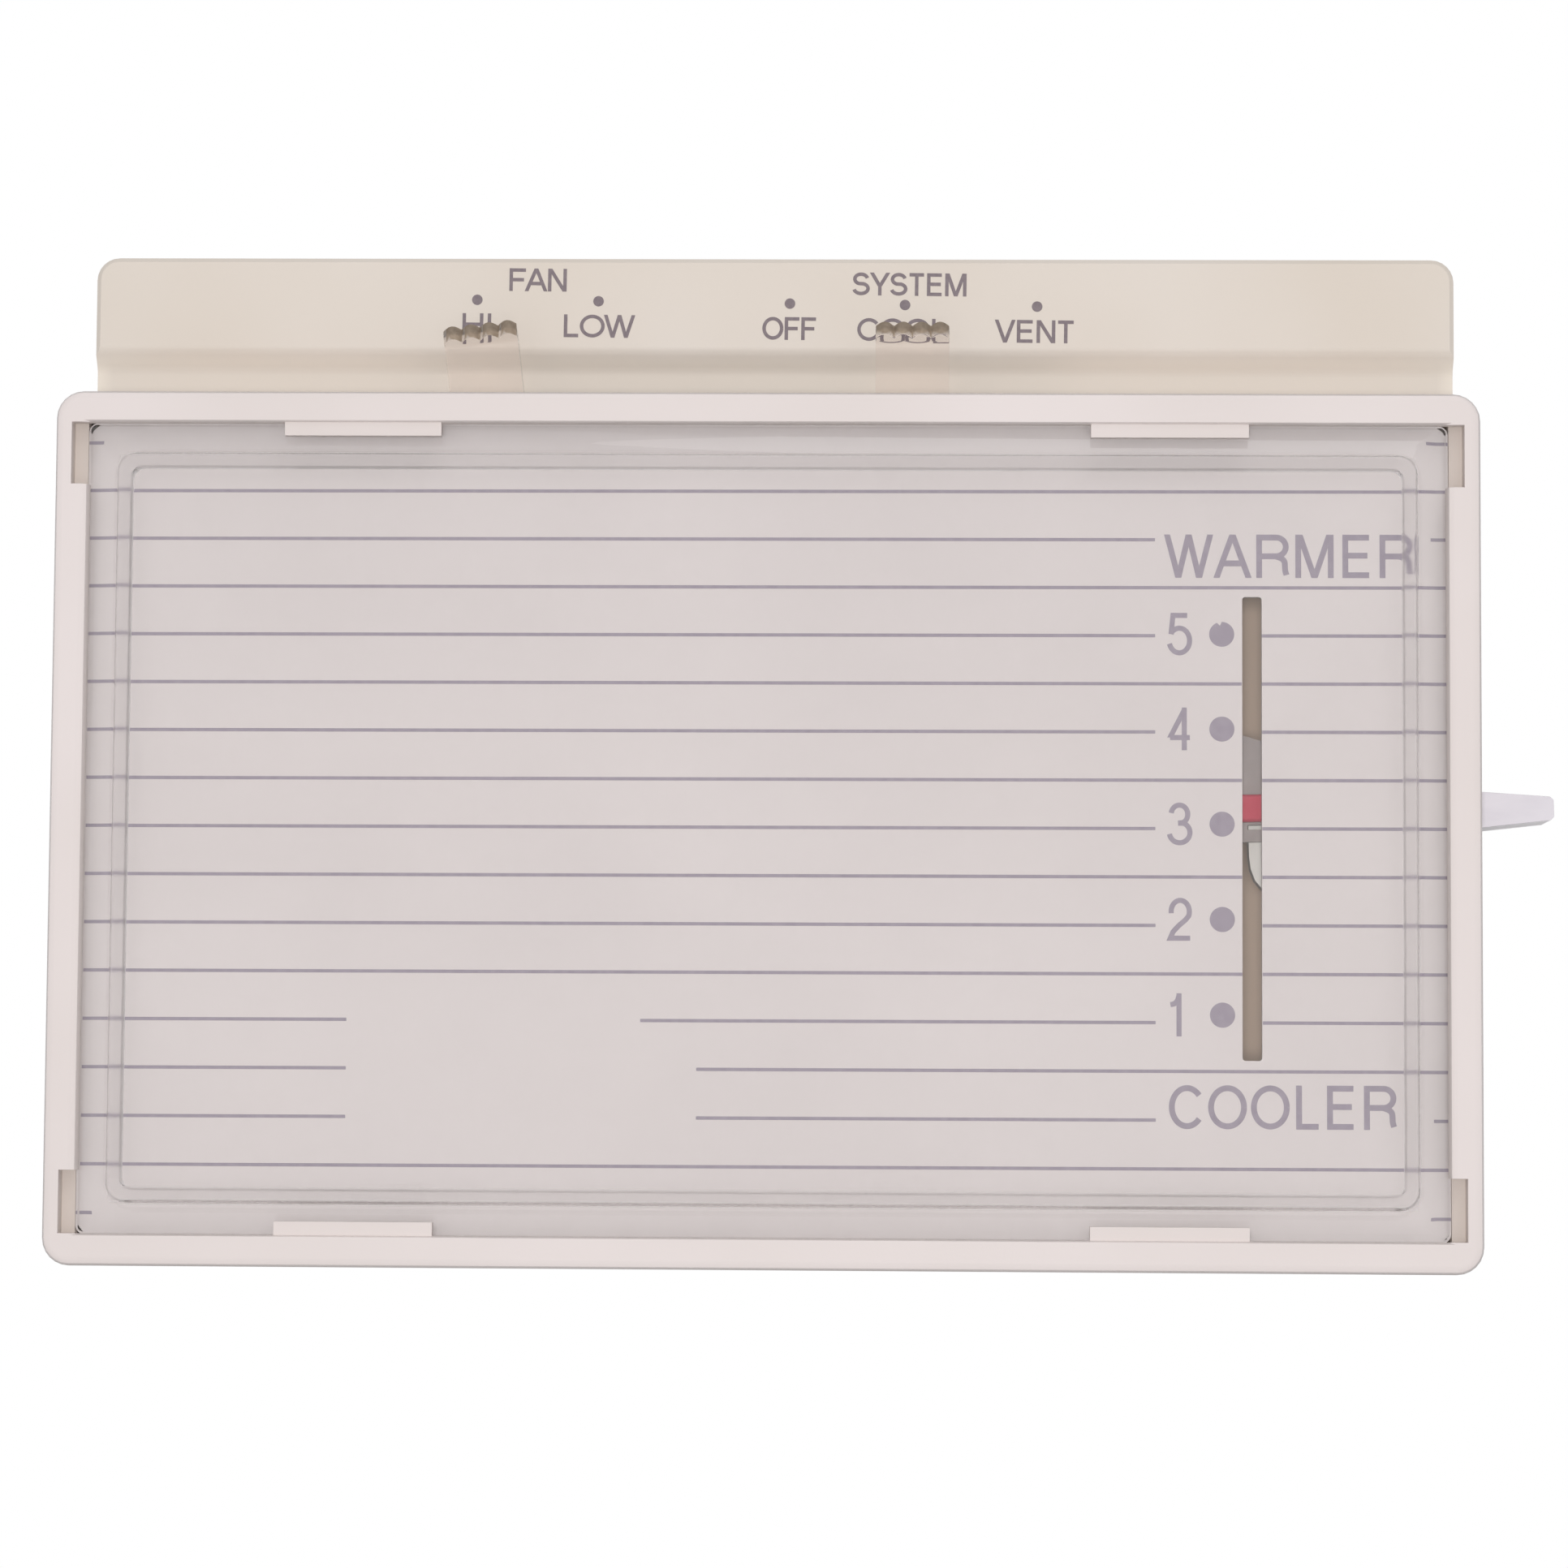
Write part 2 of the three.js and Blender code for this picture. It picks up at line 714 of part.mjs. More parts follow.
// A clear tray: a flat border, a gentle slope, a steep edge and a flat front.
function windowPane() {
  const rise = windowFront + windowRise;
  const low = windowFront + windowRise * 0.4;
  const foot = windowFlange;
  const slope = foot + windowSlope;
  const step = slope + windowStep;
  const border = loft([
    { z: windowBack, shape: windowOutline(0, windowCorner) },
    { z: windowFront - 0.15, shape: windowOutline(0, windowCorner) },
    { z: windowFront, shape: windowOutline(0.15, windowCorner - 0.15) },
  ]);
  const raised = loft([
    { z: windowFront - 0.5, shape: windowOutline(foot, windowCorner) },
    { z: windowFront, shape: windowOutline(foot, windowCorner) },
    { z: low, shape: windowOutline(slope, 1.5) },
    { z: rise - 0.15, shape: windowOutline(step, 1.5) },
    { z: rise, shape: windowOutline(step + 0.15, 1.5) },
  ]);
  const wall = slope + windowWall;
  const hollow = loft([
    { z: windowBack - 1, shape: windowOutline(wall, 1) },
    { z: rise - windowThickness, shape: windowOutline(wall + 0.03, 1) },
  ]);
  return cut(join([border, raised]), [hollow]);
}

function faceplate() {
  const half = slotWidth / 2;
  const reach = slotLength / 2;
  const slot = roundedRect(slotX - half, slotX + half, dialY - reach, dialY + reach, 0.25);
  return slab(windowOutline(0, windowCorner), faceplateBack, faceplateFront).subtract(
    slab(slot, faceplateBack - 1, front, 3),
  );
}

// Setpoint lever, drawn level about its pivot

function setpointArm() {
  const hub = 5.4;
  const shape = shapeOf([
    [0, -hub * 0.72],
    [20, -3.4],
    [62, -2.5],
    [armEnd, -2.5],
    [armEnd, 3],
    [73, 5.4],
    [66, 7.6],
    [62, 3.2],
    [20, 3.8],
    [0, hub * 0.72],
  ]);
  const window = block(slotX - postX, slotX - postX + 4, -1.45, -1.05, 0, front);
  const lightening = slab(
    shapeOf([
      [12, -1.9],
      [50, -1.2],
      [50, 1.2],
      [12, 1.9],
    ]),
    0,
    front,
  );
  const plate = join([slab(shape, armPlane, armFront), disc(0, 0, hub, armPlane, armFront, 28)]);
  return cut(plate, [
    disc(0, 0, arborStep + holeGap, 0, front, 20),
    disc(stakeX, 0.8, stakeRadius + holeGap, 0, front, 12),
    window,
    lightening,
  ]);
}

// The red marker that shows in the faceplate's slot.
function setpointPointer() {
  const x = slotX - postX;
  const back = armFront + gap;
  const low = -0.85;
  const high = 1.5;
  const profile = [
    [low, back],
    [low, back + 0.75],
    [low + 0.25, back + 1],
    [high - 0.2, back + 1],
    [high, back + 0.8],
    [high, back],
  ];
  return alongX(profile, x - 3.4, x + 3.2);
}

function setpointHandle() {
  const inner = slotX - postX + 0.15;
  const neck = coverHalfWidth - postX + 1;
  const end = handleReach - 0.3;
  const taper = [
    [neck, -handleHalf],
    [end, -handleTip],
    [handleReach, 0.3 - handleTip],
    [handleReach, handleTip - 0.3],
    [end, handleTip],
    [neck, handleHalf],
  ];
  const shape = new THREE.Shape();
  shape.moveTo(inner, 3.4);
  shape.lineTo(inner, -3.6);
  shape.bezierCurveTo(inner, -5.6, inner + 0.9, -7.2, inner + 3.2, -7.2);
  shape.bezierCurveTo(inner + 8, -7.2, inner + 8, -handleHalf, inner + 13, -handleHalf);
  taper.forEach(([x, y]) => shape.lineTo(x, y));
  shape.lineTo(inner + 9, handleHalf);
  const blade = shapeOf([[neck - 5, -handleHalf], ...taper, [neck - 5, handleHalf]]);
  const stakeTop = armFront + gap + 0.5;
  const stake = turned(
    [
      [0, handleFront - 1],
      [stakeRadius, handleFront - 1],
      [stakeRadius, armFront + gap],
      [stakeRadius + 0.8, armFront + gap],
      [stakeRadius + 0.4, stakeTop],
      [0, stakeTop + 0.1],
    ],
    stakeX,
    0.8,
    14,
  );
  const inside = slab(shape, handleFront - 2.1, handleFront, 5);
  const outside = slab(blade, handleFront - 6, handleFront);
  return join([inside, outside, stake]);
}

// The hub that carries the arm and holds the coil's inner end.
function coilArbor() {
  const low = coilBack - 2.3;
  const closed = [
    [arborHole, low],
    [coilInner - 0.3, low],
    [coilInner - 0.3, low + 0.8],
    [coilInner - coilStrip / 2 - gap, low + 1],
    [coilInner - coilStrip / 2 - gap, armPlane - gap],
    [arborStep, armPlane - gap],
    [arborStep, armFront + gap],
    [arborStep + 0.9, armFront + gap],
    [arborStep + 0.7, armFront + gap + 0.5],
    [arborHole, armFront + gap + 0.5],
    [arborHole, low],
  ];
  return turned(closed, 0, 0, 20);
}

// A flat spiral of bimetal strip, its outer end at the foot of the contact arm.
function bimetalCoil() {
  const perTurn = 20;
  const count = Math.round(coilTurns * perTurn);
  const endAngle = 1.5 * Math.PI;
  const edge = (offset) =>
    Array.from({ length: count + 1 }, (_, i) => {
      const angle = endAngle - ((count - i) / perTurn) * 2 * Math.PI;
      const radius = coilInner + (coilPitch * i) / perTurn + offset;
      return [radius * Math.cos(angle), radius * Math.sin(angle)];
    });
  const outline = [...edge(coilStrip / 2), ...edge(-coilStrip / 2).reverse()];
  return slab(shapeOf(outline), coilBack, coilBack + coilWidth);
}

// Contact arm, drawn hanging down from the coil's pivot

function contactArm() {
  const inner = coilOuter + coilStrip / 2 + gap + 0.1;
  const outer = inner + bladeThickness;
  const half = THREE.MathUtils.degToRad(34);
  const foot = new THREE.Shape();
  foot.absarc(0, 0, outer, -Math.PI / 2 - half, -Math.PI / 2 + half, false);
  foot.absarc(0, 0, inner, -Math.PI / 2 + half, -Math.PI / 2 - half, true);
  const blade = block(
    -bladeThickness / 2,
    bladeThickness / 2,
    -magnetReach - 2.6,
    -inner - bladeThickness / 2,
    coilBack,
    coilBack + coilWidth,
  );
  const hole = solid(
    new THREE.CylinderGeometry(1, 1, 4, 12)
      .rotateZ(Math.PI / 2)
      .translate(0, -contactReach, coilBack + coilWidth / 2),
  );
  return join([slab(foot, coilBack, coilBack + coilWidth, 8), blade]).subtract(hole);
}

function movingContact() {
  return turnedAlongX(
    [
      [0, -bladeThickness / 2 - gap - 0.4],
      [1.2, -bladeThickness / 2 - gap - 0.4],
      [1.2, -bladeThickness / 2 - gap],
      [0.7, -bladeThickness / 2 - gap],
      [0.7, bladeThickness / 2 + gap],
      [contactRadius, bladeThickness / 2 + gap],
      [contactRadius, contactFace - 0.2],
      [contactRadius - 0.4, contactFace],
      [0, contactFace],
    ],
    -contactReach,
    coilBack + coilWidth / 2,
  );
}

function armature() {
  const x = bladeThickness / 2 + gap;
  const y = -magnetReach;
  const z = coilBack + coilWidth / 2;
  return block(x, x + 0.8, y - 2.3, y + 2.3, z - 1.5, z + 1.5);
}

function bracketScrewPlaces() {
  return [contactReach, magnetReach].map((reach) => [postX + bracketX + 4.6, dialY - reach]);
}

function bracketScrew(x, y) {
  const stand = boardPart + bracketThickness + gap;
  return slottedScrew(x, y, stand, bracketScrewHead, bracketScrewRadius, bracketScrewLength);
}

// An angle of strip metal screwed to the board, upright beside the contact arm.
function angleBracket(reach, hole) {
  const top = armPlane - 0.5;
  const x0 = postX + bracketX;
  const profile = [
    [x0, boardPart],
    [x0 + bracketFoot, boardPart],
    [x0 + bracketFoot, boardPart + bracketThickness],
    [x0 + bracketThickness, boardPart + bracketThickness],
    [x0 + bracketThickness, top],
    [x0, top],
  ];
  const y = dialY - reach;
  const screwHole = disc(x0 + 4.6, y, bracketScrewRadius + holeGap, 0, trayDepth, 12);
  const angle = alongY(profile, y - bracketHalf, y + bracketHalf).subtract(screwHole);
  return hole ? angle.subtract(hole) : angle;
}

function contactScrewHole() {
  const long = new THREE.CylinderGeometry(contactScrewRadius + holeGap, contactScrewRadius + holeGap, 6, 14);
  const z = coilBack + coilWidth / 2;
  return solid(long.rotateZ(Math.PI / 2).translate(postX + bracketX, dialY - contactReach, z));
}

// The fixed contact is the silvered tip of an adjusting screw.
function contactScrew() {
  const tip = postX + contactFace + contactOpening;
  const head = postX + bracketX + bracketThickness + 2.4;
  const screw = turnedAlongX(
    [
      [0, tip],
      [contactScrewRadius - 0.3, tip],
      [contactScrewRadius, tip + 0.3],
      [contactScrewRadius, head],
      [2.3, head],
      [2.3, head + 1.6],
      [0, head + 1.6],
    ],
    dialY - contactReach,
    coilBack + coilWidth / 2,
  );
  const z = coilBack + coilWidth / 2;
  const y = dialY - contactReach;
  const slot = block(head + 1, head + 3, y - 3, y + 3, z - 0.3, z + 0.3);
  return screw.subtract(slot);
}

// A small horseshoe magnet facing the armature.
function magnet() {
  const left = postX + contactFace + contactOpening + 0.7;
  const right = postX + bracketX - gap;
  const y = dialY - magnetReach;
  const z = coilBack + coilWidth / 2;
  const bar = block(left, right, y - 2.4, y + 2.4, z - 2.6, z + 2.6);
  return bar.subtract(block(left - 1, right - 1.8, y - 0.9, y + 0.9, z - 3, z + 3));
}

// Setpoint post

function coilPost() {
  const flange = 3.2;
  const low = trayDepth - gap + 0.1;
  return turned(
    [
      [0, floorThickness + 6 + gap],
      [postRadius, floorThickness + 6 + gap],
      [postRadius, low],
      [flange, low],
      [flange, low + 0.8],
      [postRadius, low + 0.8],
      [postRadius, postEnd - 1.7],
      [postRadius - 0.4, postEnd - 1.7],
      [postRadius - 0.4, postEnd - 0.6],
      [postRadius, postEnd - 0.6],
      [postRadius - 0.2, postEnd],
      [0, postEnd],
    ],
    postX,
    dialY,
  );
}

function frictionWasher() {
  const back = trayDepth + 0.9;
  return turned(
    [
      [arborHole, back],
      [3.9, back + 0.15],
      [3.9, back + 0.5],
      [arborHole, back + 0.35],
      [arborHole, back],
    ],
    postX,
    dialY,
    24,
  );
}

// An E-shaped clip in the groove at the end of the post.
function retainingRing() {
  const groove = postRadius - 0.4 + gap;
  const shape = new THREE.Shape();
  shape.absarc(0, 0, 3.3, -Math.PI / 3, (4 * Math.PI) / 3, false);
  shape.absarc(0, 0, groove, (4 * Math.PI) / 3, -Math.PI / 3, true);
  const middle = postEnd - 1.15;
  const ring = new THREE.ExtrudeGeometry(shape, { depth: 0.5, bevelEnabled: false, curveSegments: 12 });
  return solid(ring.translate(postX, dialY, middle - 0.25));
}

// Switch levers, drawn upright about their pivots

function tipProfile() {
  const centreZ = leverFront + bendRadius;
  const angle = THREE.MathUtils.degToRad(leverBend);
  const steps = 6;
  const arc = (radius) =>
    Array.from({ length: steps + 1 }, (_, i) => [
      leverHeight + radius * Math.sin((angle * i) / steps),
      centreZ - radius * Math.cos((angle * i) / steps),
    ]);
  const beyond = ([y, z]) => [y + leverTip * Math.cos(angle), z + leverTip * Math.sin(angle)];
  const inside = arc(bendRadius);
  const outside = arc(bendRadius + leverThickness);
  const root = leverHeight - 1;
  return [
    [root, leverFront],
    ...inside,
    beyond(inside.at(-1)),
    beyond(outside.at(-1)),
    ...outside.reverse(),
    [root, leverBack],
  ];
}

// Everything beyond the rounded teeth, laid along the bent tip.
function teethCut() {
  const pitch = leverWidth / teeth;
  const perTooth = 6;
  const wave = Array.from({ length: teeth * perTooth + 1 }, (_, i) => {
    const x = (i / perTooth) * pitch - leverWidth / 2;
    const height = Math.abs(Math.sin((Math.PI * i) / perTooth));
    return [x, -toothDepth * (1 - height)];
  });
  const shape = shapeOf([
    [leverWidth, 2],
    [-leverWidth, 2],
    [-leverWidth, -toothDepth],
    ...wave,
    [leverWidth, -toothDepth],
  ]);
  const angle = THREE.MathUtils.degToRad(leverBend);
  const depth = 3 * leverThickness;
  const geometry = new THREE.ExtrudeGeometry(shape, { depth, bevelEnabled: false });
  geometry.translate(0, leverTip, -2 * leverThickness).rotateX(angle);
  const radius = bendRadius;
  return solid(
    geometry.translate(
      0,
      leverHeight + radius * Math.sin(angle),
      leverFront + radius - radius * Math.cos(angle),
    ),
  );
}

function leverBlade() {
  const half = leverWidth / 2;
  const shape = new THREE.Shape();
  shape.absarc(0, 0, leverTail, Math.PI * 0.86, Math.PI * 2.14, false);
  shape.lineTo(half, 16);
  shape.lineTo(half, leverHeight - 0.5);
  shape.lineTo(-half, leverHeight - 0.5);
  shape.lineTo(-half, 16);
  const blade = join([
    slab(shape, leverBack, leverFront, 10),
    alongX(tipProfile(), -half, half),
  ]);
  return cut(blade, [
    teethCut(),
    disc(0, 0, pivotShank + holeGap, 0, front, 20),
    disc(0, rivetReach, rivetShank + holeGap, 0, front, 12),
  ]);
}

// A springy strip under the lever that dips to the common and outer contacts.
function wiper() {
  const top = leverBack - gap;
  const low = boardPart + 0.6 + gap;
  const dip = top - wiperThickness - low;
  const reach = 2.7;
  const bump = (distance) => {
    const t = Math.min(Math.abs(distance) / reach, 1);
    return (1 + Math.cos(Math.PI * t)) / 2;
  };
  const start = commonReach - 2.2;
  const end = padReach + 2;
  const steps = 34;
  const line = (offset) =>
    Array.from({ length: steps + 1 }, (_, i) => {
      const y = start + ((end - start) * i) / steps;
      const down = Math.max(bump(y - commonReach), bump(y - padReach));
      return [y, top - offset - dip * down];
    });
  const profile = [...line(0), ...line(wiperThickness).reverse()];
  return alongX(profile, -1.9, 1.9).subtract(disc(0, rivetReach, rivetShank + holeGap, 0, front, 12));
}

function wiperRivet() {
  const low = leverBack - 2 * gap - wiperThickness;
  return turned(
    [
      [0, low - 0.5],
      [rivetShank + 0.6, low - 0.5],
      [rivetShank + 0.7, low],
      [rivetShank, low],
      [rivetShank, leverFront + gap],
      [rivetShank + 0.9, leverFront + gap],
      [rivetShank + 0.6, leverFront + gap + 0.5],
      [0, leverFront + gap + 0.6],
    ],
    0,
    rivetReach,
    14,
  );
}

// Assembly

function groupAt(x, y, degrees) {
  const group = new THREE.Group();
  group.position.set(x, y, 0);
  group.rotation.z = THREE.MathUtils.degToRad(degrees);
  return group;
}

function addBase(base) {
  piece(base, "base_plate", basePlate(), 0xded1c6, 0.45);
  piece(base, "switch_board", switchBoard(), 0x8a6a43, 0.7);
  boardScrews.forEach(([x, y], i) => {
    const screw = slottedScrew(x, y, boardPart, boardScrewHead, boardScrewRadius, boardScrewLength);
    piece(base, `board_screw_${i + 1}`, screw, ...steel);
  });
  for (const { name, x, y } of padPlaces()) piece(base, name, contactPad(x, y), ...brass);
  piece(base, "fan_pivot", leverPivot(fanPivotX), ...nickel);
  piece(base, "system_pivot", leverPivot(systemPivotX), ...nickel);
  terminalPlaces().forEach(([x, y], i) => {
    const stand = boardPart + 0.8 + gap;
    piece(base, `terminal_plate_${i + 1}`, terminalPlate(x, y), ...brass);
    const screw = slottedScrew(x, y, stand, terminalScrewHead, terminalScrewRadius, terminalScrewLength);
    piece(base, `terminal_screw_${i + 1}`, screw, ...nickel);
  });
  piece(base, "anticipator", resistor(), 0x9c8f7a, 0.6);
}

function addContacts(base) {
  const [contactSeat, magnetSeat] = bracketScrewPlaces();
  piece(base, "contact_bracket", angleBracket(contactReach, contactScrewHole()), ...brass);
  piece(base, "contact_bracket_screw", bracketScrew(...contactSeat), ...steel);
  piece(base, "contact_screw", contactScrew(), ...nickel);
  piece(base, "magnet_bracket", angleBracket(magnetReach), ...steel);
  piece(base, "magnet_bracket_screw", bracketScrew(...magnetSeat), ...steel);
  piece(base, "magnet", magnet(), 0x5b5d60, 0.5, 0.6);
  piece(base, "coil_post", coilPost(), ...nickel);
  piece(base, "friction_washer", frictionWasher(), ...bronze);
  piece(base, "retaining_ring", retainingRing(), ...steel);
}

function addCover(cover) {
  piece(cover, "cover_frame", coverFrame(), 0xe6dcda, 0.4);
  piece(cover, "window", windowPane(), 0xf2f2f4, 0.05);
  piece(cover, "faceplate", faceplate(), 0xd8cfcd, 0.35, 0.3);
}

function addSetpoint(lever) {
  piece(lever, "setpoint_arm", setpointArm(), 0x9c9491, 0.45, 1);
  piece(lever, "setpoint_pointer", setpointPointer(), 0xb7616c, 0.45);
  piece(lever, "setpoint_handle", setpointHandle(), 0xdcd8dd, 0.35);
  piece(lever, "coil_arbor", coilArbor(), ...brass);
  piece(lever, "bimetal_coil", bimetalCoil(), ...bronze);
}

function addContactArm(arm) {
  piece(arm, "contact_arm", contactArm(), ...bronze);
  piece(arm, "moving_contact", movingContact(), ...nickel);
  piece(arm, "armature", armature(), ...steel);
}

function addSwitch(lever, name) {
  piece(lever, `${name}_lever`, leverBlade(), 0xe9e7e2, 0.08);
  piece(lever, `${name}_wiper`, wiper(), ...bronze);
  piece(lever, `${name}_wiper_rivet`, wiperRivet(), ...nickel);
}

const thermostat = new THREE.Group();
thermostat.rotation.x = Math.PI / 2;
const base = groupAt(0, 0, 0);
const cover = groupAt(0, 0, 0);
const setpoint = groupAt(postX, dialY, armRest);
const contact = groupAt(postX, dialY, 0);
const fanSwitch = groupAt(fanPivotX, leverPivotY, fanRest);
const systemSwitch = groupAt(systemPivotX, leverPivotY, 0);
thermostat.add(base, cover, setpoint, contact, fanSwitch, systemSwitch);
addBase(base);
addContacts(base);
addCover(cover);
addSetpoint(setpoint);
addContactArm(contact);
addSwitch(fanSwitch, "fan");
addSwitch(systemSwitch, "system");

export default thermostat;
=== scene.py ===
import json
import math
import bmesh
import bpy
from mathutils import Matrix, Vector
from mathutils.geometry import delaunay_2d_cdt


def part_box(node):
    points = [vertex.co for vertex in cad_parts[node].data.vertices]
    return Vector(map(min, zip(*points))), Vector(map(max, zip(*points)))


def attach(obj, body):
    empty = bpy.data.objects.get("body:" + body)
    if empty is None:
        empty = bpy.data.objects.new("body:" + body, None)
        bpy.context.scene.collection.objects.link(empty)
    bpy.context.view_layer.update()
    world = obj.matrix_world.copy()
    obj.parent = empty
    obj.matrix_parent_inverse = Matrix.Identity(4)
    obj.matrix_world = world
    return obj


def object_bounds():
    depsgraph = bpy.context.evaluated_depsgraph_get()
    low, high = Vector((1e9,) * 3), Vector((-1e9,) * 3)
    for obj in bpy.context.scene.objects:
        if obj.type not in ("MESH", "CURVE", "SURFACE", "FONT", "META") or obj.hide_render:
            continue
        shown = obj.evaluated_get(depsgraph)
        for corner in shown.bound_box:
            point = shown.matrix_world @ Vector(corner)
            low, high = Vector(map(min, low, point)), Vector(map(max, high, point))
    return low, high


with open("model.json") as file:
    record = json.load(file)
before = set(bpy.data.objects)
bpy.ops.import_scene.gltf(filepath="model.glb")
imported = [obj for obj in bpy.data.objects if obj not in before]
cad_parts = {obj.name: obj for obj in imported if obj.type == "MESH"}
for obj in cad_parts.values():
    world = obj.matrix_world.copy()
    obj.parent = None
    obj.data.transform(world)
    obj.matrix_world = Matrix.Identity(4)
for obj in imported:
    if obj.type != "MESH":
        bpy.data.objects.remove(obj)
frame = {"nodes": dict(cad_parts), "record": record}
nodes = frame["nodes"]
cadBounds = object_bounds()
mm = 0.001
print("loaded", len(nodes), "parts of the thermostat")


def toLinear(hexColour):
    # sRGB hex to the linear colour that a shader takes
    parts = [int(hexColour[i:i + 2], 16) / 255 for i in (1, 3, 5)]
    linear = [c / 12.92 if c <= 0.04045 else ((c + 0.055) / 1.055) ** 2.4 for c in parts]
    return (*linear, 1.0)


def addNode(tree, kind, inputs=None, **settings):
    # each input is a socket to link from, or a plain value
    node = tree.nodes.new(kind)
    for name, value in settings.items():
        setattr(node, name, value)
    for name, value in (inputs or {}).items():
        if isinstance(value, bpy.types.NodeSocket):
            tree.links.new(value, node.inputs[name])
        else:
            node.inputs[name].default_value = value
    return node


def maths(tree, operation, first, second=None):
    inputs = {0: first} if second is None else {0: first, 1: second}
    return addNode(tree, "ShaderNodeMath", inputs, operation=operation).outputs[0]


def spread(tree, value, low, high, fromLow=0.3, fromHigh=0.7):
    # the usual limits are those between which a noise mostly stays
    return addNode(tree, "ShaderNodeMapRange", {
        "Value": value,
        "From Min": fromLow,
        "From Max": fromHigh,
        "To Min": low,
        "To Max": high,
    }).outputs[0]


def fromMiddle(tree, place, axis):
    # distance from the middle plane, place being a split vector
    return maths(tree, "ABSOLUTE", place.outputs[axis])


# Camera: a little below the middle, looking slightly up.
view = {
    "place": (12.0, -434.6, -27.3),  # mm
    "yaw": 1.473,  # degrees to the left
    "pitch": 4.446,  # degrees up
    "roll": 0.368,
    "lens": 109.25,  # mm on a 36 mm sensor
    "sensor": 36.0,
    "nearest": 0.01,  # m
}


def addCamera():
    yaw, pitch, roll = (math.radians(view[key]) for key in ("yaw", "pitch", "roll"))
    ahead = Vector((
        -math.sin(yaw) * math.cos(pitch),
        math.cos(yaw) * math.cos(pitch),
        math.sin(pitch),
    ))
    right = Vector((math.cos(yaw), math.sin(yaw), 0))
    up = right.cross(ahead)
    across = math.cos(roll) * right + math.sin(roll) * up
    upright = math.cos(roll) * up - math.sin(roll) * right
    data = bpy.data.cameras.new("camera")
    data.lens = view["lens"]
    data.sensor_width = view["sensor"]
    data.clip_start = view["nearest"]
    camera = bpy.data.objects.new("camera", data)
    bpy.context.scene.collection.objects.link(camera)
    turned = Matrix((across, upright, -ahead)).transposed().to_4x4()
    camera.matrix_world = Matrix.Translation(Vector(view["place"]) * mm) @ turned
    bpy.context.scene.camera = camera


addCamera()
print("camera placed")

# Studio: a broad soft lamp above, a weak one on the left, a small one in front that reaches into
# the slot, a white surround and a pale floor. Powers in W, sizes and places in m.
studio = {
    "surround": 0.46,  # what the white surround gives the surfaces
    "keyPower": 1.5,
    "keySize": 0.7,
    "keyPlace": (0.25, -0.75, 0.85),
    "fillPower": 0.2,
    "fillSize": 0.6,
    "fillPlace": (-0.8, -0.7, 0.1),
    "frontPower": 1.0,
    "frontSize": 0.04,
    "frontPlace": (0.007, -0.5, -0.03),
    "floorDrop": 0.07,  # under the lowest point
    "floorRadius": 0.36,
    "floorSteps": 96,
    "floorGrey": 0.7,
    "floorGlow": 0.45,  # only for rays that show the background
}


def addLamp(name, power, size, place, seen=True):
    data = bpy.data.lights.new(name, "AREA")
    data.shape = "DISK"
    data.size = size
    data.energy = power
    lamp = bpy.data.objects.new(name, data)
    bpy.context.scene.collection.objects.link(lamp)
    lamp.location = place
    lamp.rotation_euler = (-Vector(place)).to_track_quat("-Z", "Y").to_euler()
    lamp.visible_transmission = False  # its light comes straight through the clear parts instead
    lamp.visible_glossy = seen


def whiteRays(tree):
    # 1 for rays that show the background itself, straight or in gloss and glass
    path = addNode(tree, "ShaderNodeLightPath")
    direct = maths(tree, "MAXIMUM", path.outputs["Is Camera Ray"], path.outputs["Is Glossy Ray"])
    return maths(tree, "MAXIMUM", direct, path.outputs["Is Transmission Ray"])


def addSurround():
    world = bpy.data.worlds.new("white surround")
    bpy.context.scene.world = world
    world.use_nodes = True
    tree = world.node_tree
    tree.nodes.clear()
    strength = spread(tree, whiteRays(tree), studio["surround"], 1, 0, 1)
    white = addNode(tree, "ShaderNodeBackground", {"Color": (1, 1, 1, 1), "Strength": strength})
    addNode(tree, "ShaderNodeOutputWorld", {"Surface": white.outputs[0]})


def addFloor():
    mesh = bpy.data.meshes.new("floor")
    shape = bmesh.new()
    bmesh.ops.create_circle(
        shape, cap_ends=True, segments=studio["floorSteps"], radius=studio["floorRadius"]
    )
    shape.to_mesh(mesh)
    shape.free()
    floor = bpy.data.objects.new("floor", mesh)
    bpy.context.scene.collection.objects.link(floor)
    floor.location.z = cadBounds[0].z - studio["floorDrop"]
    material = bpy.data.materials.new("pale floor")
    material.use_nodes = True
    tree = material.node_tree
    tree.nodes.clear()
    grey = studio["floorGrey"]
    matt = addNode(tree, "ShaderNodeBsdfDiffuse", {"Color": (grey, grey, grey, 1)})
    lift = maths(tree, "MULTIPLY", whiteRays(tree), studio["floorGlow"])
    glow = addNode(tree, "ShaderNodeEmission", {"Strength": lift})
    both = addNode(tree, "ShaderNodeAddShader", {0: matt.outputs[0], 1: glow.outputs[0]})
    addNode(tree, "ShaderNodeOutputMaterial", {"Surface": both.outputs[0]})
    mesh.materials.append(material)


addLamp("key", studio["keyPower"], studio["keySize"], studio["keyPlace"])
addLamp("fill", studio["fillPower"], studio["fillSize"], studio["fillPlace"])
addLamp("front", studio["frontPower"], studio["frontSize"], studio["frontPlace"], seen=False)
addSurround()
addFloor()
bpy.context.scene.view_settings.view_transform = "Standard"
print("studio lit")


# Materials

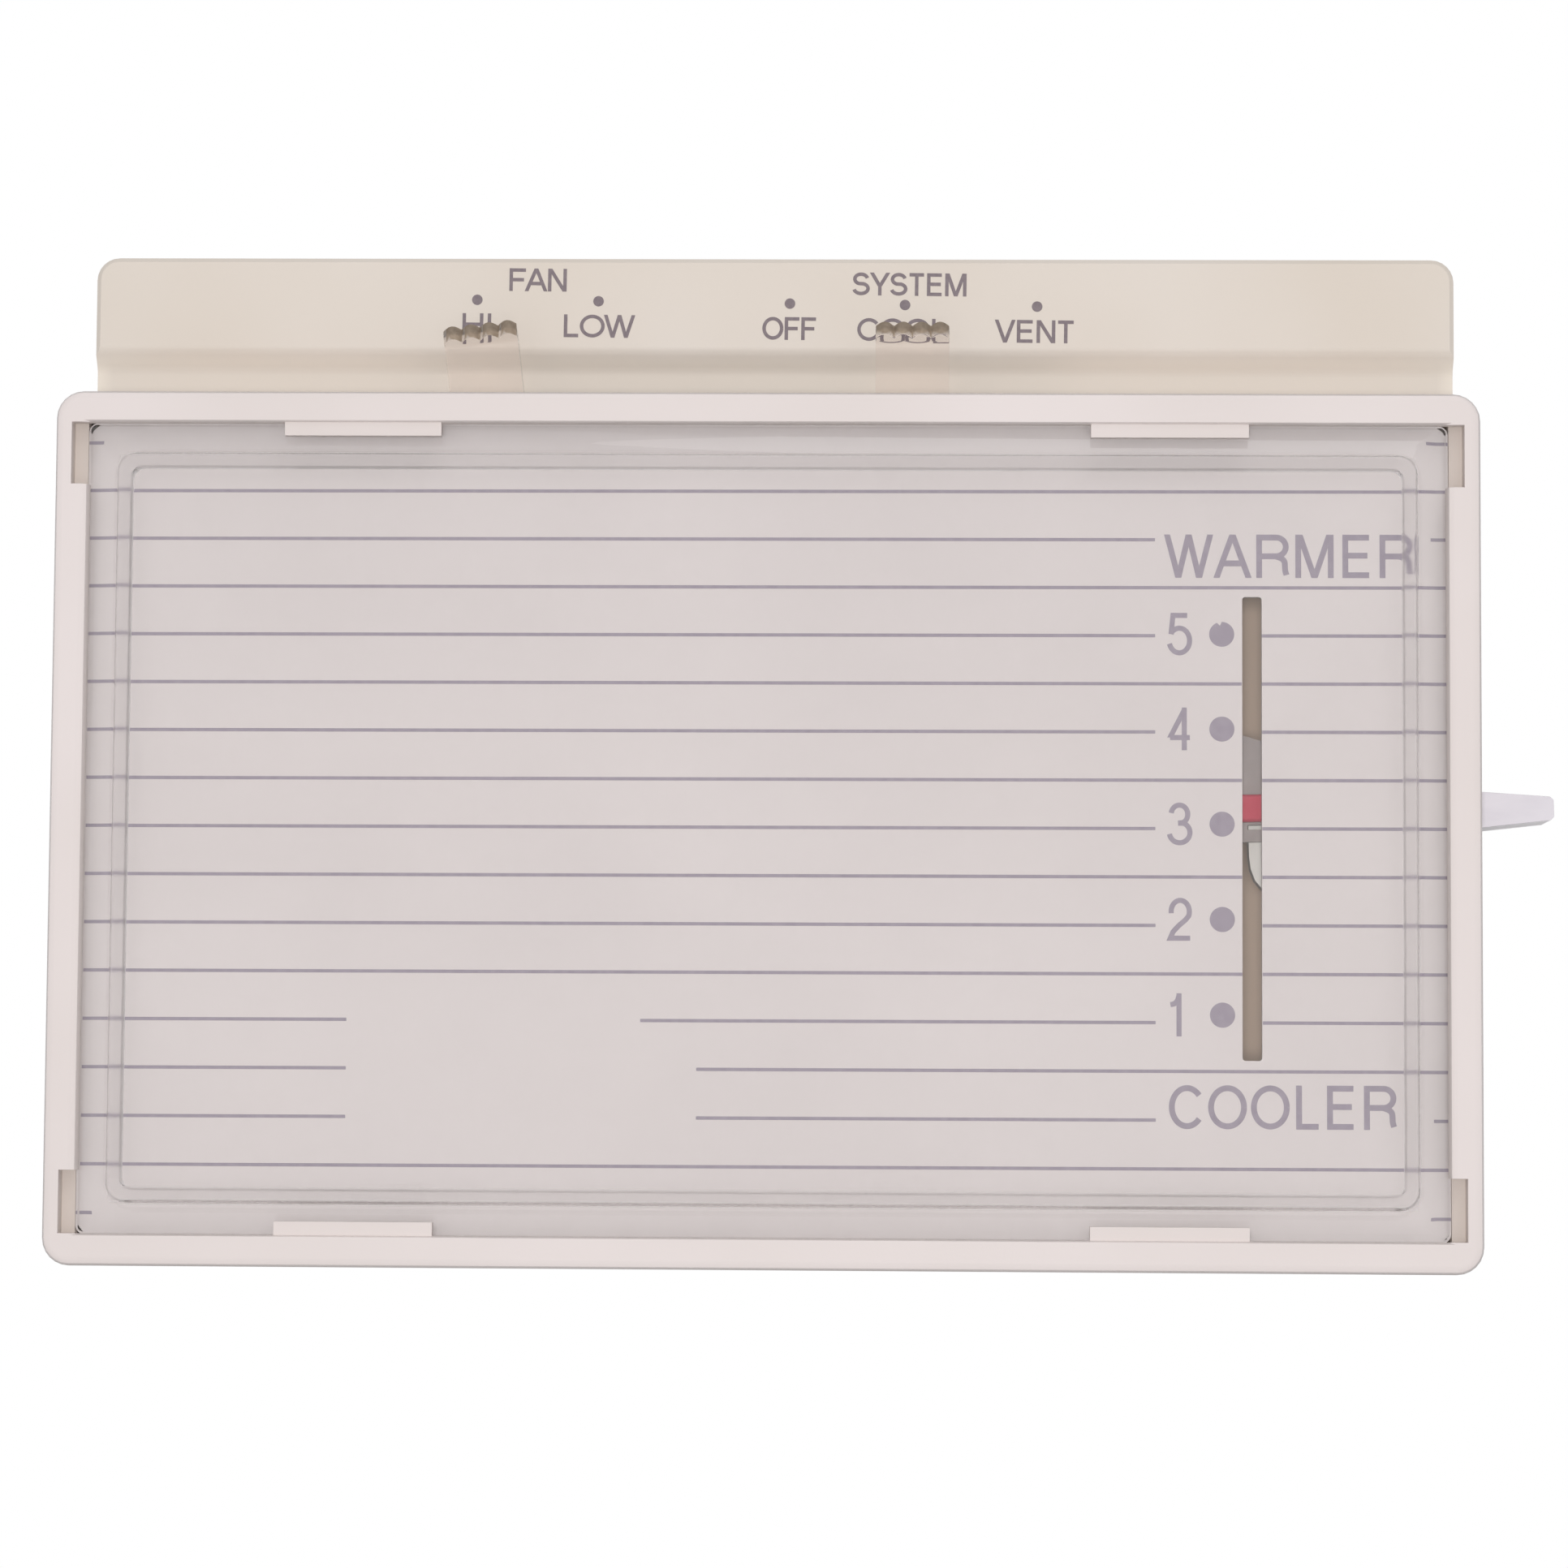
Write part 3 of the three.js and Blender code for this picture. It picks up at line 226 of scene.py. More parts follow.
def startMaterial(name, ior, metallic=0.0):
    material = bpy.data.materials.new(name)
    material.use_nodes = True
    tree = material.node_tree
    surface = tree.nodes["Principled BSDF"]
    surface.inputs["IOR"].default_value = ior
    surface.inputs["Metallic"].default_value = metallic
    coords = addNode(tree, "ShaderNodeTexCoord").outputs["Object"]
    return material, tree, surface, coords


def stretched(tree, coords, x, y, z):
    # object coordinates in metres, drawn out along an axis by a small factor
    return addNode(tree, "ShaderNodeMapping", {"Vector": coords, "Scale": (x, y, z)}).outputs[0]


noiseRoughness = 0.55  # how strongly the finer layers of a noise show


def cloudy(tree, coords, size, detail=2):
    # soft patches, size in mm; detail is the number of finer layers
    return addNode(tree, "ShaderNodeTexNoise", {
        "Vector": coords,
        "Scale": 1 / (size * mm),
        "Detail": detail,
        "Roughness": noiseRoughness,
    }).outputs["Fac"]


def mixed(tree, share, first, second):
    # each colour is a hex value or a colour socket; sockets 6 and 7 take the two colours
    colours = [toLinear(c) if isinstance(c, str) else c for c in (first, second)]
    return addNode(tree, "ShaderNodeMix", {
        0: share,
        6: colours[0],
        7: colours[1],
    }, data_type="RGBA").outputs[2]


def relief(tree, surface, height, depth):
    # depth in mm
    bump = addNode(tree, "ShaderNodeBump", {"Height": height, "Distance": depth * mm})
    tree.links.new(bump.outputs[0], surface.inputs["Normal"])


def blend(tree, share, values):
    return mixed(tree, share, values["light"], values["dark"])


def sheen(tree, share, values):
    return spread(tree, share, values["smooth"], values["rough"])


def finish(tree, surface, colour, roughness):
    for name, value in (("Base Color", colour), ("Roughness", roughness)):
        if isinstance(value, bpy.types.NodeSocket):
            tree.links.new(value, surface.inputs[name])
        else:
            surface.inputs[name].default_value = value


toneTail = 0.4  # mm in which a painted tone fades out at its last depth


def sheltered(tree, coords, span, halves, fade):
    # 0 on the outside, 1 where the plastic lies back from the front and inside the outer walls, where
    # shade and light are painted into the colour
    place = addNode(tree, "ShaderNodeSeparateXYZ", {0: coords})
    begin, complete, last = (depth * mm for depth in span)
    entered = spread(tree, place.outputs["Y"], 0, 1, begin, complete)
    left = spread(tree, place.outputs["Y"], 1, 0, last, last + toneTail * mm)
    share = maths(tree, "MULTIPLY", entered, left)
    for axis, half in zip("XZ", halves):
        reach = fromMiddle(tree, place, axis)
        within = spread(tree, reach, 1, 0, (half - fade) * mm, half * mm)
        share = maths(tree, "MULTIPLY", share, within)
    return share


def mouldedAbs(name, values):
    # injection-moulded ABS from a spark-eroded tool: an even satin with a very fine grain
    material, tree, surface, coords = startMaterial(name, values["ior"])
    flow = spread(tree, cloudy(tree, coords, values["flow"]), 0, 1)
    colour = blend(tree, flow, values)
    # painted shade and light: each colour is mixed in where the plastic lies back
    for tone, *reach in values["paintedShading"]:
        colour = mixed(tree, sheltered(tree, coords, *reach), colour, tone)
    grain = cloudy(tree, coords, values["grain"], detail=3)
    finish(tree, surface, colour, sheen(tree, grain, values))
    relief(tree, surface, grain, values["depth"])
    return material


whiteAbs = {
    "ior": 1.54,
    "light": "#E6DCDA",
    "dark": "#E1D7D4",
    "flow": 22,  # mm, slow drift of the moulding's tone
    "grain": 0.35,  # mm, drawn coarser than the real 0.1 so that it shows
    "smooth": 0.36,
    "rough": 0.5,
    "depth": 0.004,
    # painted shade, a little duller and browner, on the plastic that lies back inside the ring: colour,
    # the depths (mm) at which the change begins, is complete and ends, how far it reaches sideways and
    # up, and over what it fades there
    "paintedShading": [("#D3C7BF", (-35.95, -34.3, -13), (59.2, 35.7), 0.05)],
}
creamAbs = dict(
    whiteAbs,
    light="#E5DCD3",
    dark="#DED3C7",
    flow=30,
    paintedShading=[
        ("#EDE3D6", (-17.4, -16.3, -15.9), (60.4, 44.2), 0.4),  # painted light in the valley under the lettering, which lies in shade
        ("#DED4C9", (-17.4, -16.3, -15.9), (60.4, 43.3), 1.6),  # the shelf below it, where the painted light gives way to about its own colour
        ("#E9CFB8", (-9, -6, -2.3), (58.4, 35), 0.05),  # painted warm shade on the front of the floor, the colour of light bounced about inside
    ],
)


def silverLacquer(values):
    # satin silver lacquer on sheet aluminium: fine flake, a soft broad shine
    material, tree, surface, coords = startMaterial(
        "satin silver lacquer", values["ior"], values["metallic"]
    )
    cloud = spread(tree, cloudy(tree, coords, values["cloud"]), 0, 1)
    flake = cloudy(tree, coords, values["flake"], detail=1)
    finish(tree, surface, blend(tree, cloud, values), sheen(tree, flake, values))
    relief(tree, surface, flake, values["depth"])
    return material


faceplateLook = {
    "ior": 1.5,
    "light": "#DDD5D2",
    "dark": "#D8D0CD",
    "cloud": 26,
    "flake": 0.25,  # mm, coarser than the real flake
    "metallic": 0.35,
    "smooth": 0.42,
    "rough": 0.55,
    "depth": 0.001,
}


scuffAlong = (1, 1, 0.08)  # drawn out upwards
scuffShare = (0.55, 0.75)  # only the peaks of the noise are scuffed


def clearPlastic(name, values):
    # clear moulded plastic with a polished skin, a faint waviness and a few hairline scuffs
    material, tree, surface, coords = startMaterial(name, values["ior"])
    surface.inputs["Transmission Weight"].default_value = 1.0
    wave = cloudy(tree, coords, values["wave"], detail=1)
    scuff = cloudy(tree, stretched(tree, coords, *scuffAlong), values["scuff"])
    rough = spread(tree, scuff, 0, values["rough"], *scuffShare)
    finish(tree, surface, toLinear(values["colour"]), rough)
    relief(tree, surface, wave, values["depth"])
    if "cutColour" in values:
        frostCuts(tree, surface, coords, rough, values)
    if "hazeRough" in values:
        hazeEdge(tree, surface, coords, rough, values)
    return material


def beyond(tree, coords, halves, fade):
    # 0 within a rectangle about the middle, 1 outside it
    place = addNode(tree, "ShaderNodeSeparateXYZ", {0: coords})
    outside = [
        spread(tree, fromMiddle(tree, place, axis), 0, 1, half * mm, (half + fade) * mm)
        for axis, half in zip("XZ", halves)
    ]
    return maths(tree, "MAXIMUM", *outside)


def roughen(tree, surface, rough, share, more):
    # adds to the roughness where share is 1
    added = maths(tree, "ADD", rough, spread(tree, share, 0, more, 0, 1))
    tree.links.new(added, surface.inputs["Roughness"])


def hazeEdge(tree, surface, coords, rough, values):
    # the steep wall round the raised middle comes from a part of the tool that isn't polished
    edge = beyond(tree, coords, values["hazeHalf"], values["hazeFade"])
    past = beyond(tree, coords, values["hazeEnd"], values["hazeFade"])
    haze = maths(tree, "SUBTRACT", edge, past)
    roughen(tree, surface, rough, haze, values["hazeRough"])


def frostCuts(tree, surface, coords, rough, values):
    # the toothed ends are cut, not moulded: frosted faces that look up and out
    normal = addNode(tree, "ShaderNodeTexCoord").outputs["Normal"]
    facing = addNode(tree, "ShaderNodeSeparateXYZ", {0: normal})
    up = spread(tree, facing.outputs["Z"], 0, 1, *values["cutUp"])
    out = spread(tree, facing.outputs["Y"], 1, 0, *values["cutOut"])
    cut = maths(tree, "MULTIPLY", up, out)
    streak = cloudy(tree, coords, values["cutGrain"])
    frost = mixed(tree, spread(tree, streak, 0, 1), values["cutColour"], values["cutDark"])
    colour = mixed(tree, cut, values["colour"], frost)
    tree.links.new(colour, surface.inputs["Base Color"])
    clear = spread(tree, cut, 1, values["cutClear"], 0, 1)
    tree.links.new(clear, surface.inputs["Transmission Weight"])
    roughen(tree, surface, rough, cut, values["cutRough"])


windowLook = {
    "ior": 1.49,  # acrylic
    "colour": "#FCFBFC",
    "wave": 9,
    "depth": 0.004,
    "scuff": 0.6,
    "rough": 0.04,
    "hazeHalf": (53.5, 30.2),  # mm from the middle, where the haze begins
    "hazeEnd": (54.8, 31.5),
    "hazeFade": 0.15,
    "hazeRough": 0.3,
}
leverLook = {
    "ior": 1.49,  # acrylic
    "colour": "#F8F3F0",
    "wave": 5,
    "depth": 0.004,
    "scuff": 0.5,
    "rough": 0.08,
    "cutColour": "#A5937F",
    "cutDark": "#8C7A68",
    "cutGrain": 0.5,  # mm
    "cutUp": (0.15, 0.4),  # how far a face has to look up
    "cutOut": (-0.25, 0.0),  # and away from the wall
    "cutRough": 0.45,
    "cutClear": 0.3,
}


def printedInk(name, values):
    # screen-printed ink: flat, a little uneven in cover, matt
    material, tree, surface, coords = startMaterial(name, values["ior"])
    cover = spread(tree, cloudy(tree, coords, values["mottle"], detail=3), 0, 1)
    roughness = sheen(tree, cover, values)
    finish(tree, surface, blend(tree, cover, values), roughness)
    relief(tree, surface, cover, values["depth"])
    return material


mattInk = {"ior": 1.48, "smooth": 0.5, "rough": 0.65, "depth": 0.002}
dialInk = dict(mattInk, light="#988E98", dark="#8E848F", mottle=0.7)
stripInk = dict(mattInk, light="#897E82", dark="#7F7479", mottle=0.4)


def enamelledSteel(values):
    # grey stoving enamel on sheet steel: smooth with slight orange peel
    material, tree, surface, coords = startMaterial("grey enamelled steel", values["ior"])
    peel = cloudy(tree, coords, values["peel"])
    colour = blend(tree, spread(tree, peel, 0, 1), values)
    finish(tree, surface, colour, sheen(tree, peel, values))
    relief(tree, surface, peel, values["depth"])
    return material


armLook = {
    "ior": 1.5,
    "light": "#B9AEAA",
    "dark": "#B0A5A1",
    "peel": 0.9,
    "smooth": 0.35,
    "rough": 0.5,
    "depth": 0.006,
}


def glossMoulding(name, values):
    # acetal or ABS from a polished tool: smooth with slight flow marks
    material, tree, surface, coords = startMaterial(name, values["ior"])
    flow = cloudy(tree, stretched(tree, coords, *values["along"]), values["flow"])
    colour = blend(tree, spread(tree, flow, 0, 1), values)
    # painted light: a paler colour where the part lies under the cover, in shade
    if "kept" in values:
        place = addNode(tree, "ShaderNodeSeparateXYZ", {0: coords})
        paintedLightShare = spread(tree, place.outputs["X"], 1, 0, *(end * mm for end in values["keptSpan"]))
        colour = mixed(tree, paintedLightShare, colour, values["kept"])
    finish(tree, surface, colour, sheen(tree, flow, values))
    relief(tree, surface, flow, values["depth"])
    return material


polishedLook = {"along": (0.3, 1, 1), "flow": 1.6, "smooth": 0.28, "rough": 0.4, "depth": 0.003}
handleLook = dict(
    polishedLook,
    light="#E6E1E7",
    dark="#DDD8DF",
    ior=1.48,  # acetal
    kept="#FCF8F0",  # painted light: a paler, creamier white on the part under the cover, which lies in shade
    keptSpan=(57, 60),  # mm from the middle, where that ends
)
pointerLook = dict(polishedLook, light="#DF4D63", dark="#D54459", ior=1.52)


metalIor = 1.5  # the shader's own; a metal's colour comes from its base colour


def metal(name, values):
    # strip or turned metal: fine lines along the rolling or turning direction, cloudy tarnish
    material, tree, surface, coords = startMaterial(name, metalIor, 1)
    lines = cloudy(tree, stretched(tree, coords, *values["along"]), values["line"], detail=3)
    tarnish = spread(tree, cloudy(tree, coords, values["cloud"], detail=3), 0, 1)
    finish(tree, surface, blend(tree, tarnish, values), sheen(tree, lines, values))
    relief(tree, surface, lines, values["depth"])
    return material


brassStrip = {
    "light": "#D2B06A",
    "dark": "#B99350",
    "along": (0.1, 1, 1),
    "line": 0.15,
    "cloud": 3,
    "smooth": 0.25,
    "rough": 0.42,
    "depth": 0.002,
}
phosphorBronze = dict(brassStrip, light="#C79A6A", dark="#A97C50")
nickelPlate = dict(brassStrip, light="#D4D3CE", dark="#C2C0BA", smooth=0.18, rough=0.3)
zincPlate = dict(brassStrip, light="#C2C5C9", dark="#A9A79C", cloud=2, smooth=0.3, rough=0.5)
sinteredMagnet = dict(brassStrip, light="#6A6B6D", dark="#54565A", smooth=0.5, rough=0.7, depth=0.01)


def bimetalStrip(values):
    # two alloys rolled together: a yellow brassy side out, a grey nickel-steel side in
    material, tree, surface, coords = startMaterial("bimetal strip", metalIor, 1)
    place = addNode(tree, "ShaderNodeVectorMath", {
        0: coords,
        1: values["middle"],
    }, operation="SUBTRACT").outputs[0]
    outward = addNode(tree, "ShaderNodeVectorMath", {0: place}, operation="NORMALIZE").outputs[0]
    normal = addNode(tree, "ShaderNodeNewGeometry").outputs["Normal"]
    facing = addNode(tree, "ShaderNodeVectorMath", {
        0: outward,
        1: normal,
    }, operation="DOT_PRODUCT").outputs["Value"]
    side = spread(tree, facing, 0, 1, *values["turn"])
    lines = cloudy(tree, stretched(tree, coords, *values["along"]), values["line"], detail=3)
    colour = mixed(tree, side, values["inner"], values["outer"])
    finish(tree, surface, colour, sheen(tree, lines, values))
    relief(tree, surface, lines, values["depth"])
    return material


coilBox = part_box("bimetal_coil")
coilLook = {
    "inner": "#B9B6AE",
    "outer": "#C6A263",
    "middle": tuple((coilBox[0] + coilBox[1]) / 2),
    "turn": (-0.2, 0.2),  # how square to the middle a face is where the colour changes
    "along": (1, 0.1, 1),
    "line": 0.15,  # mm
    "smooth": 0.22,
    "rough": 0.4,
    "depth": 0.002,
}


def phenolicPaper(values):
    # paper-based phenolic laminate: brown, faintly fibrous, a dull shine
    material, tree, surface, coords = startMaterial("phenolic paper board", values["ior"])
    fibre = cloudy(tree, stretched(tree, coords, *values["along"]), values["fibre"], detail=4)
    colour = blend(tree, spread(tree, fibre, 0, 1), values)
    finish(tree, surface, colour, sheen(tree, fibre, values))
    relief(tree, surface, fibre, values["depth"])
    return material


boardLook = {
    "ior": 1.55,
    "light": "#9A7848",
    "dark": "#7F5F36",
    "along": (0.25, 1, 1),
    "fibre": 0.8,  # mm
    "smooth": 0.35,
    "rough": 0.55,
    "depth": 0.004,
}


def glazedCeramic(values):
    # coated ceramic tube: slightly speckled, low gloss
    material, tree, surface, coords = startMaterial("coated ceramic", values["ior"])
    speck = cloudy(tree, coords, values["speck"], detail=3)
    colour = blend(tree, spread(tree, speck, 0, 1, *values["speckShare"]), values)
    finish(tree, surface, colour, sheen(tree, speck, values))
    relief(tree, surface, speck, values["depth"])
    return material


ceramicLook = {
    "ior": 1.6,
    "light": "#A99B86",
    "dark": "#8F8170",
    "speck": 0.35,  # mm
    "speckShare": (0.4, 0.62),
    "smooth": 0.4,
    "rough": 0.6,
    "depth": 0.006,
}


surfaces = {
    "white_abs": mouldedAbs("white moulded ABS", whiteAbs),
    "cream_abs": mouldedAbs("cream moulded ABS", creamAbs),
    "clear_window": clearPlastic("clear window acrylic", windowLook),
    "clear_lever": clearPlastic("clear lever acrylic", leverLook),
    "printed_metal": silverLacquer(faceplateLook),
    "grey_steel": enamelledSteel(armLook),
    "red_plastic": glossMoulding("red moulded ABS", pointerLook),
    "white_acetal": glossMoulding("white acetal", handleLook),
    "brass": metal("rolled brass", brassStrip),
    "bronze": metal("phosphor bronze", phosphorBronze),
    "nickel": metal("nickel plate", nickelPlate),
    "steel": metal("zinc plated steel", zincPlate),
    "magnet_grey": metal("sintered magnet", sinteredMagnet),
    "phenolic": phenolicPaper(boardLook),
    "resistor_ceramic": glazedCeramic(ceramicLook),
}
dialPrint = printedInk("grey dial ink", dialInk)
stripPrint = printedInk("grey strip ink", stripInk)
coilSurface = bimetalStrip(coilLook)


def dressNodes():
    for entry in frame["record"]["subparts"]:
        node = nodes[entry["node"]]
        node.data.materials.clear()
        node.data.materials.append(surfaces[entry["material_slot"]])
    nodes["bimetal_coil"].data.materials[0] = coilSurface


dressNodes()
print("materials on")

# Soft edges: every moulded or stamped part loses its knife edges; radii in mm.
edgeRadius = {
    "white_abs": 0.18,
    "cream_abs": 0.15,
    "clear_window": 0.1,
    "clear_lever": 0.12,
    "printed_metal": 0.04,
    "grey_steel": 0.08,
    "red_plastic": 0.1,
    "white_acetal": 0.05,
    "phenolic": 0.05,
}
edges = {
    "steps": 2,  # faces across a rounded edge
    "small": 0.06,  # mm, on the small metal parts
    "roundBelow": 38,  # degrees, flatter edges are part of a curve
    "weld": 0.001,  # mm
    "flatBelow": 0.05,  # degrees, between faces that count as one
}
pressed = {
    "growth": 0.22,  # mm on each side
    "growFrom": {"window": 0.0, "faceplate": 0.99},  # share of the half size where it begins
}


def geometryGroup(name):
    group = bpy.data.node_groups.new(name, "GeometryNodeTree")
    for way in ("INPUT", "OUTPUT"):
        group.interface.new_socket("Geometry", in_out=way, socket_type="NodeSocketGeometry")
    return group, addNode(group, "NodeGroupInput").outputs[0]


def smoothGroup():
    # shades curves smooth and keeps the corners sharp
    group, start = geometryGroup("smooth curves")
    bare = addNode(group, "GeometryNodeRemoveAttribute", {
        "Geometry": start,
        "Name": "custom_normal",
    })
    faces = addNode(group, "GeometryNodeSetShadeSmooth", {
        "Geometry": bare.outputs[0],
        "Shade Smooth": True,
    }, domain="FACE")
    angle = addNode(group, "GeometryNodeInputMeshEdgeAngle")
    sharp = addNode(group, "FunctionNodeCompare", {
        0: angle.outputs["Unsigned Angle"],
        1: math.radians(edges["roundBelow"]),
    }, data_type="FLOAT", operation="GREATER_THAN")
    creased = addNode(group, "GeometryNodeSetShadeSmooth", {
        "Geometry": faces.outputs[0],
        "Selection": sharp.outputs[0],
        "Shade Smooth": False,
    }, domain="EDGE")
    addNode(group, "NodeGroupOutput", {0: creased.outputs[0]})
    return group


def closerFit():
    # the window and the faceplate are pressed into the cover: they fill the CAD clearance
    for name, begin in pressed["growFrom"].items():
        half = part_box(name)[1]
        group, start = geometryGroup("pressed in " + name)
        position = addNode(group, "GeometryNodeInputPosition").outputs[0]
        place = addNode(group, "ShaderNodeSeparateXYZ", {0: position})
        moved = {"Y": place.outputs["Y"]}
        for axis, edge in (("X", half.x), ("Z", half.z)):
            most = 1 + pressed["growth"] * mm / edge
            wider = spread(group, fromMiddle(group, place, axis), 1, most, edge * begin, edge)
            moved[axis] = maths(group, "MULTIPLY", place.outputs[axis], wider)
        placed = addNode(group, "GeometryNodeSetPosition", {
            "Geometry": start,
            "Position": addNode(group, "ShaderNodeCombineXYZ", moved).outputs[0],
        })
        addNode(group, "NodeGroupOutput", {0: placed.outputs[0]})
        fit = nodes[name].modifiers.new("pressed in", "NODES")
        fit.node_group = group


def clearShadows():
    # light passes straight through the clear mouldings
    for entry in frame["record"]["subparts"]:
        if entry["material_slot"] in ("clear_window", "clear_lever"):
            nodes[entry["node"]].visible_shadow = False


def softenEdges():
    group = smoothGroup()
    for entry in frame["record"]["subparts"]:
        node = nodes[entry["node"]]
        weld = node.modifiers.new("weld", "WELD")
        weld.merge_threshold = edges["weld"] * mm
        merge = node.modifiers.new("flat faces", "DECIMATE")
        merge.decimate_type = "DISSOLVE"
        merge.angle_limit = math.radians(edges["flatBelow"])
        bevel = node.modifiers.new("edge", "BEVEL")
        bevel.width = edgeRadius.get(entry["material_slot"], edges["small"]) * mm
        bevel.segments = edges["steps"]
        bevel.limit_method = "ANGLE"
        bevel.angle_limit = math.radians(edges["roundBelow"])
        bevel.use_clamp_overlap = True
        smooth = node.modifiers.new("smooth", "NODES")
        smooth.node_group = group
        # broad faces keep their own direction, so flat panes and walls stay optically flat
        flat = node.modifiers.new("flat shading", "WEIGHTED_NORMAL")
        flat.keep_sharp = True


closerFit()
softenEdges()
clearShadows()
print("edges softened")


# Printing: thin ink outlines joined in the plane and given their thickness

dotSteps = 32


def ellipse(middle, across, upward, start, end, steps):
    points = []
    for i in range(steps + 1):
        angle = math.radians(start + (end - start) * i / steps)
        points.append((middle[0] + across * math.cos(angle), middle[1] + upward * math.sin(angle)))
    return points


def bar(x0, z0, x1, z1):
    return [(x0, z0), (x1, z0), (x1, z1), (x0, z1)]


def dot(x, z, radius):
    return ellipse((x, z), radius, radius, 0, 360, dotSteps)[:-1]


# Letters on a grid of one cap height: strokes by their centre lines, straight ones as two points.
letterShapes = {
    "A": [[(0, 0), (0.5, 1)], [(1, 0), (0.5, 1)], [(0.17, 0.31), (0.83, 0.31)]],
    "C": [ellipse((0.52, 0.5), 0.52, 0.5, 38, 322, 26)],
    "E": [[(0, 0), (0, 1)], [(0, 1), (1, 1)], [(0, 0.52), (0.93, 0.52)], [(0, 0), (1, 0)]],
    "F": [[(0, 0), (0, 1)], [(0, 1), (1, 1)], [(0, 0.5), (0.88, 0.5)]],
    "H": [[(0, 0), (0, 1)], [(1, 0), (1, 1)], [(0, 0.52), (1, 0.52)]],
    "I": [[(0.5, 0), (0.5, 1)]],
    "L": [[(0, 0), (0, 1)], [(0, 0), (1, 0)]],
    "M": [[(0, 0), (0, 1)], [(1, 0), (1, 1)], [(0.04, 1), (0.5, 0)], [(0.96, 1), (0.5, 0)]],
    "N": [[(0, 0), (0, 1)], [(1, 0), (1, 1)], [(0.02, 1), (0.98, 0)]],
    "O": [ellipse((0.5, 0.5), 0.5, 0.5, 0, 360, 40)],
    "R": [
        [(0, 0), (0, 1)],
        [(0, 1), (0.62, 1), *ellipse((0.62, 0.75), 0.36, 0.25, 80, -80, 10), (0.62, 0.5), (0, 0.5)],
        [(0.6, 0.5), *ellipse((0.66, 0.3), 0.28, 0.17, 70, 5, 6), (0.95, 0.12), (1, 0)],
    ],
    "S": [[
        *ellipse((0.5, 0.75), 0.45, 0.25, 12, 250, 18),
        *ellipse((0.5, 0.26), 0.5, 0.26, 70, -168, 18),
    ]],
    "T": [[(0, 1), (1, 1)], [(0.5, 0), (0.5, 1)]],
    "V": [[(0, 1), (0.5, 0)], [(1, 1), (0.5, 0)]],
    "W": [[(0, 1), (0.26, 0)], [(0.5, 1), (0.26, 0)], [(0.5, 1), (0.74, 0)], [(1, 1), (0.74, 0)]],
    "Y": [[(0, 1), (0.5, 0.4)], [(1, 1), (0.5, 0.4)], [(0.5, 0), (0.5, 0.44)]],
    "1": [[(1, 0), (1, 1)], [(0, 0.77), (0.45, 0.79), (0.8, 0.87), (1, 1)]],
    "2": [[
        *ellipse((0.5, 0.7), 0.46, 0.3, 188, -22, 18),
        (0.76, 0.48), (0.42, 0.33), (0.14, 0.17), (0, 0), (1, 0),
    ]],
    "3": [
        [*ellipse((0.47, 0.755), 0.42, 0.245, 172, -62, 16), (0.4, 0.52)],
        [(0.4, 0.52), *ellipse((0.48, 0.27), 0.52, 0.27, 66, -172, 18)],
    ],
    "4": [[(0.0, 0.27), (0.72, 1)], [(0.72, 0), (0.72, 1)], [(0, 0.27), (1, 0.27)]],
    "5": [
        [(0.88, 1), (0.16, 1), (0.06, 0.5)],
        [(0.06, 0.5), *ellipse((0.48, 0.33), 0.52, 0.33, 138, -165, 20)],
    ],
}
# left edge, right edge and advance of each letter, in cap heights
letterSpans = {
    "A": (-0.02, 0.93, 0.93), "C": (0.06, 0.95, 1.0), "E": (0.12, 0.86, 0.93),
    "F": (0.1, 0.86, 0.85), "H": (0.11, 0.9, 1.0), "I": (0.13, 0.26, 0.39),
    "L": (0.11, 0.75, 0.77), "M": (0.1, 1.06, 1.16), "N": (0.11, 0.9, 1.0),
    "O": (0.05, 1.03, 1.08), "R": (0.12, 0.95, 1.0), "S": (0.07, 0.86, 0.93),
    "T": (0.02, 0.83, 0.85), "V": (0.03, 0.9, 0.93), "W": (0.02, 1.25, 1.28),
    "Y": (0.02, 0.91, 0.93),
    "1": (0.15, 0.5, 0.78), "2": (0.04, 0.71, 0.78), "3": (0.05, 0.73, 0.78),
    "4": (0.03, 0.73, 0.78), "5": (0.04, 0.72, 0.78),
}


mitreLimit = 0.5  # sharper corners aren't drawn out further
steepFrom = 0.4  # how much a straight stroke rises, from which it is cut off level


def ribbon(points, width):
    # quads along a centre line
    half = width / 2
    sides = []
    for i, (x, z) in enumerate(points):
        ways = []
        for a, b in ((i - 1, i), (i, i + 1)):
            if 0 <= a and b < len(points):
                step = Vector(points[b]) - Vector(points[a])
                ways.append(step.normalized())
        normals = [Vector((-way.y, way.x)) for way in ways]
        across = sum(normals, Vector((0, 0))).normalized()
        reach = half / max(mitreLimit, across.dot(normals[0]))
        if len(points) == 2 and abs(ways[0].y) > steepFrom:
            across = Vector((1, 0)) if normals[0].x > 0 else Vector((-1, 0))
            reach = half / abs(ways[0].y)
        sides.append((Vector((x, z)) + across * reach, Vector((x, z)) - across * reach))
    quads = []
    for (a, b), (c, d) in zip(sides, sides[1:]):
        quads.append([tuple(p) for p in (b, d, c, a)])
    return quads


def letterSpan(letter, grow):
    # edges and advance, with the letter widened about its own middle
    low, high, advance = letterSpans[letter]
    extra = (high - low) * (grow - 1) / 2
    return low - extra, high + extra, advance


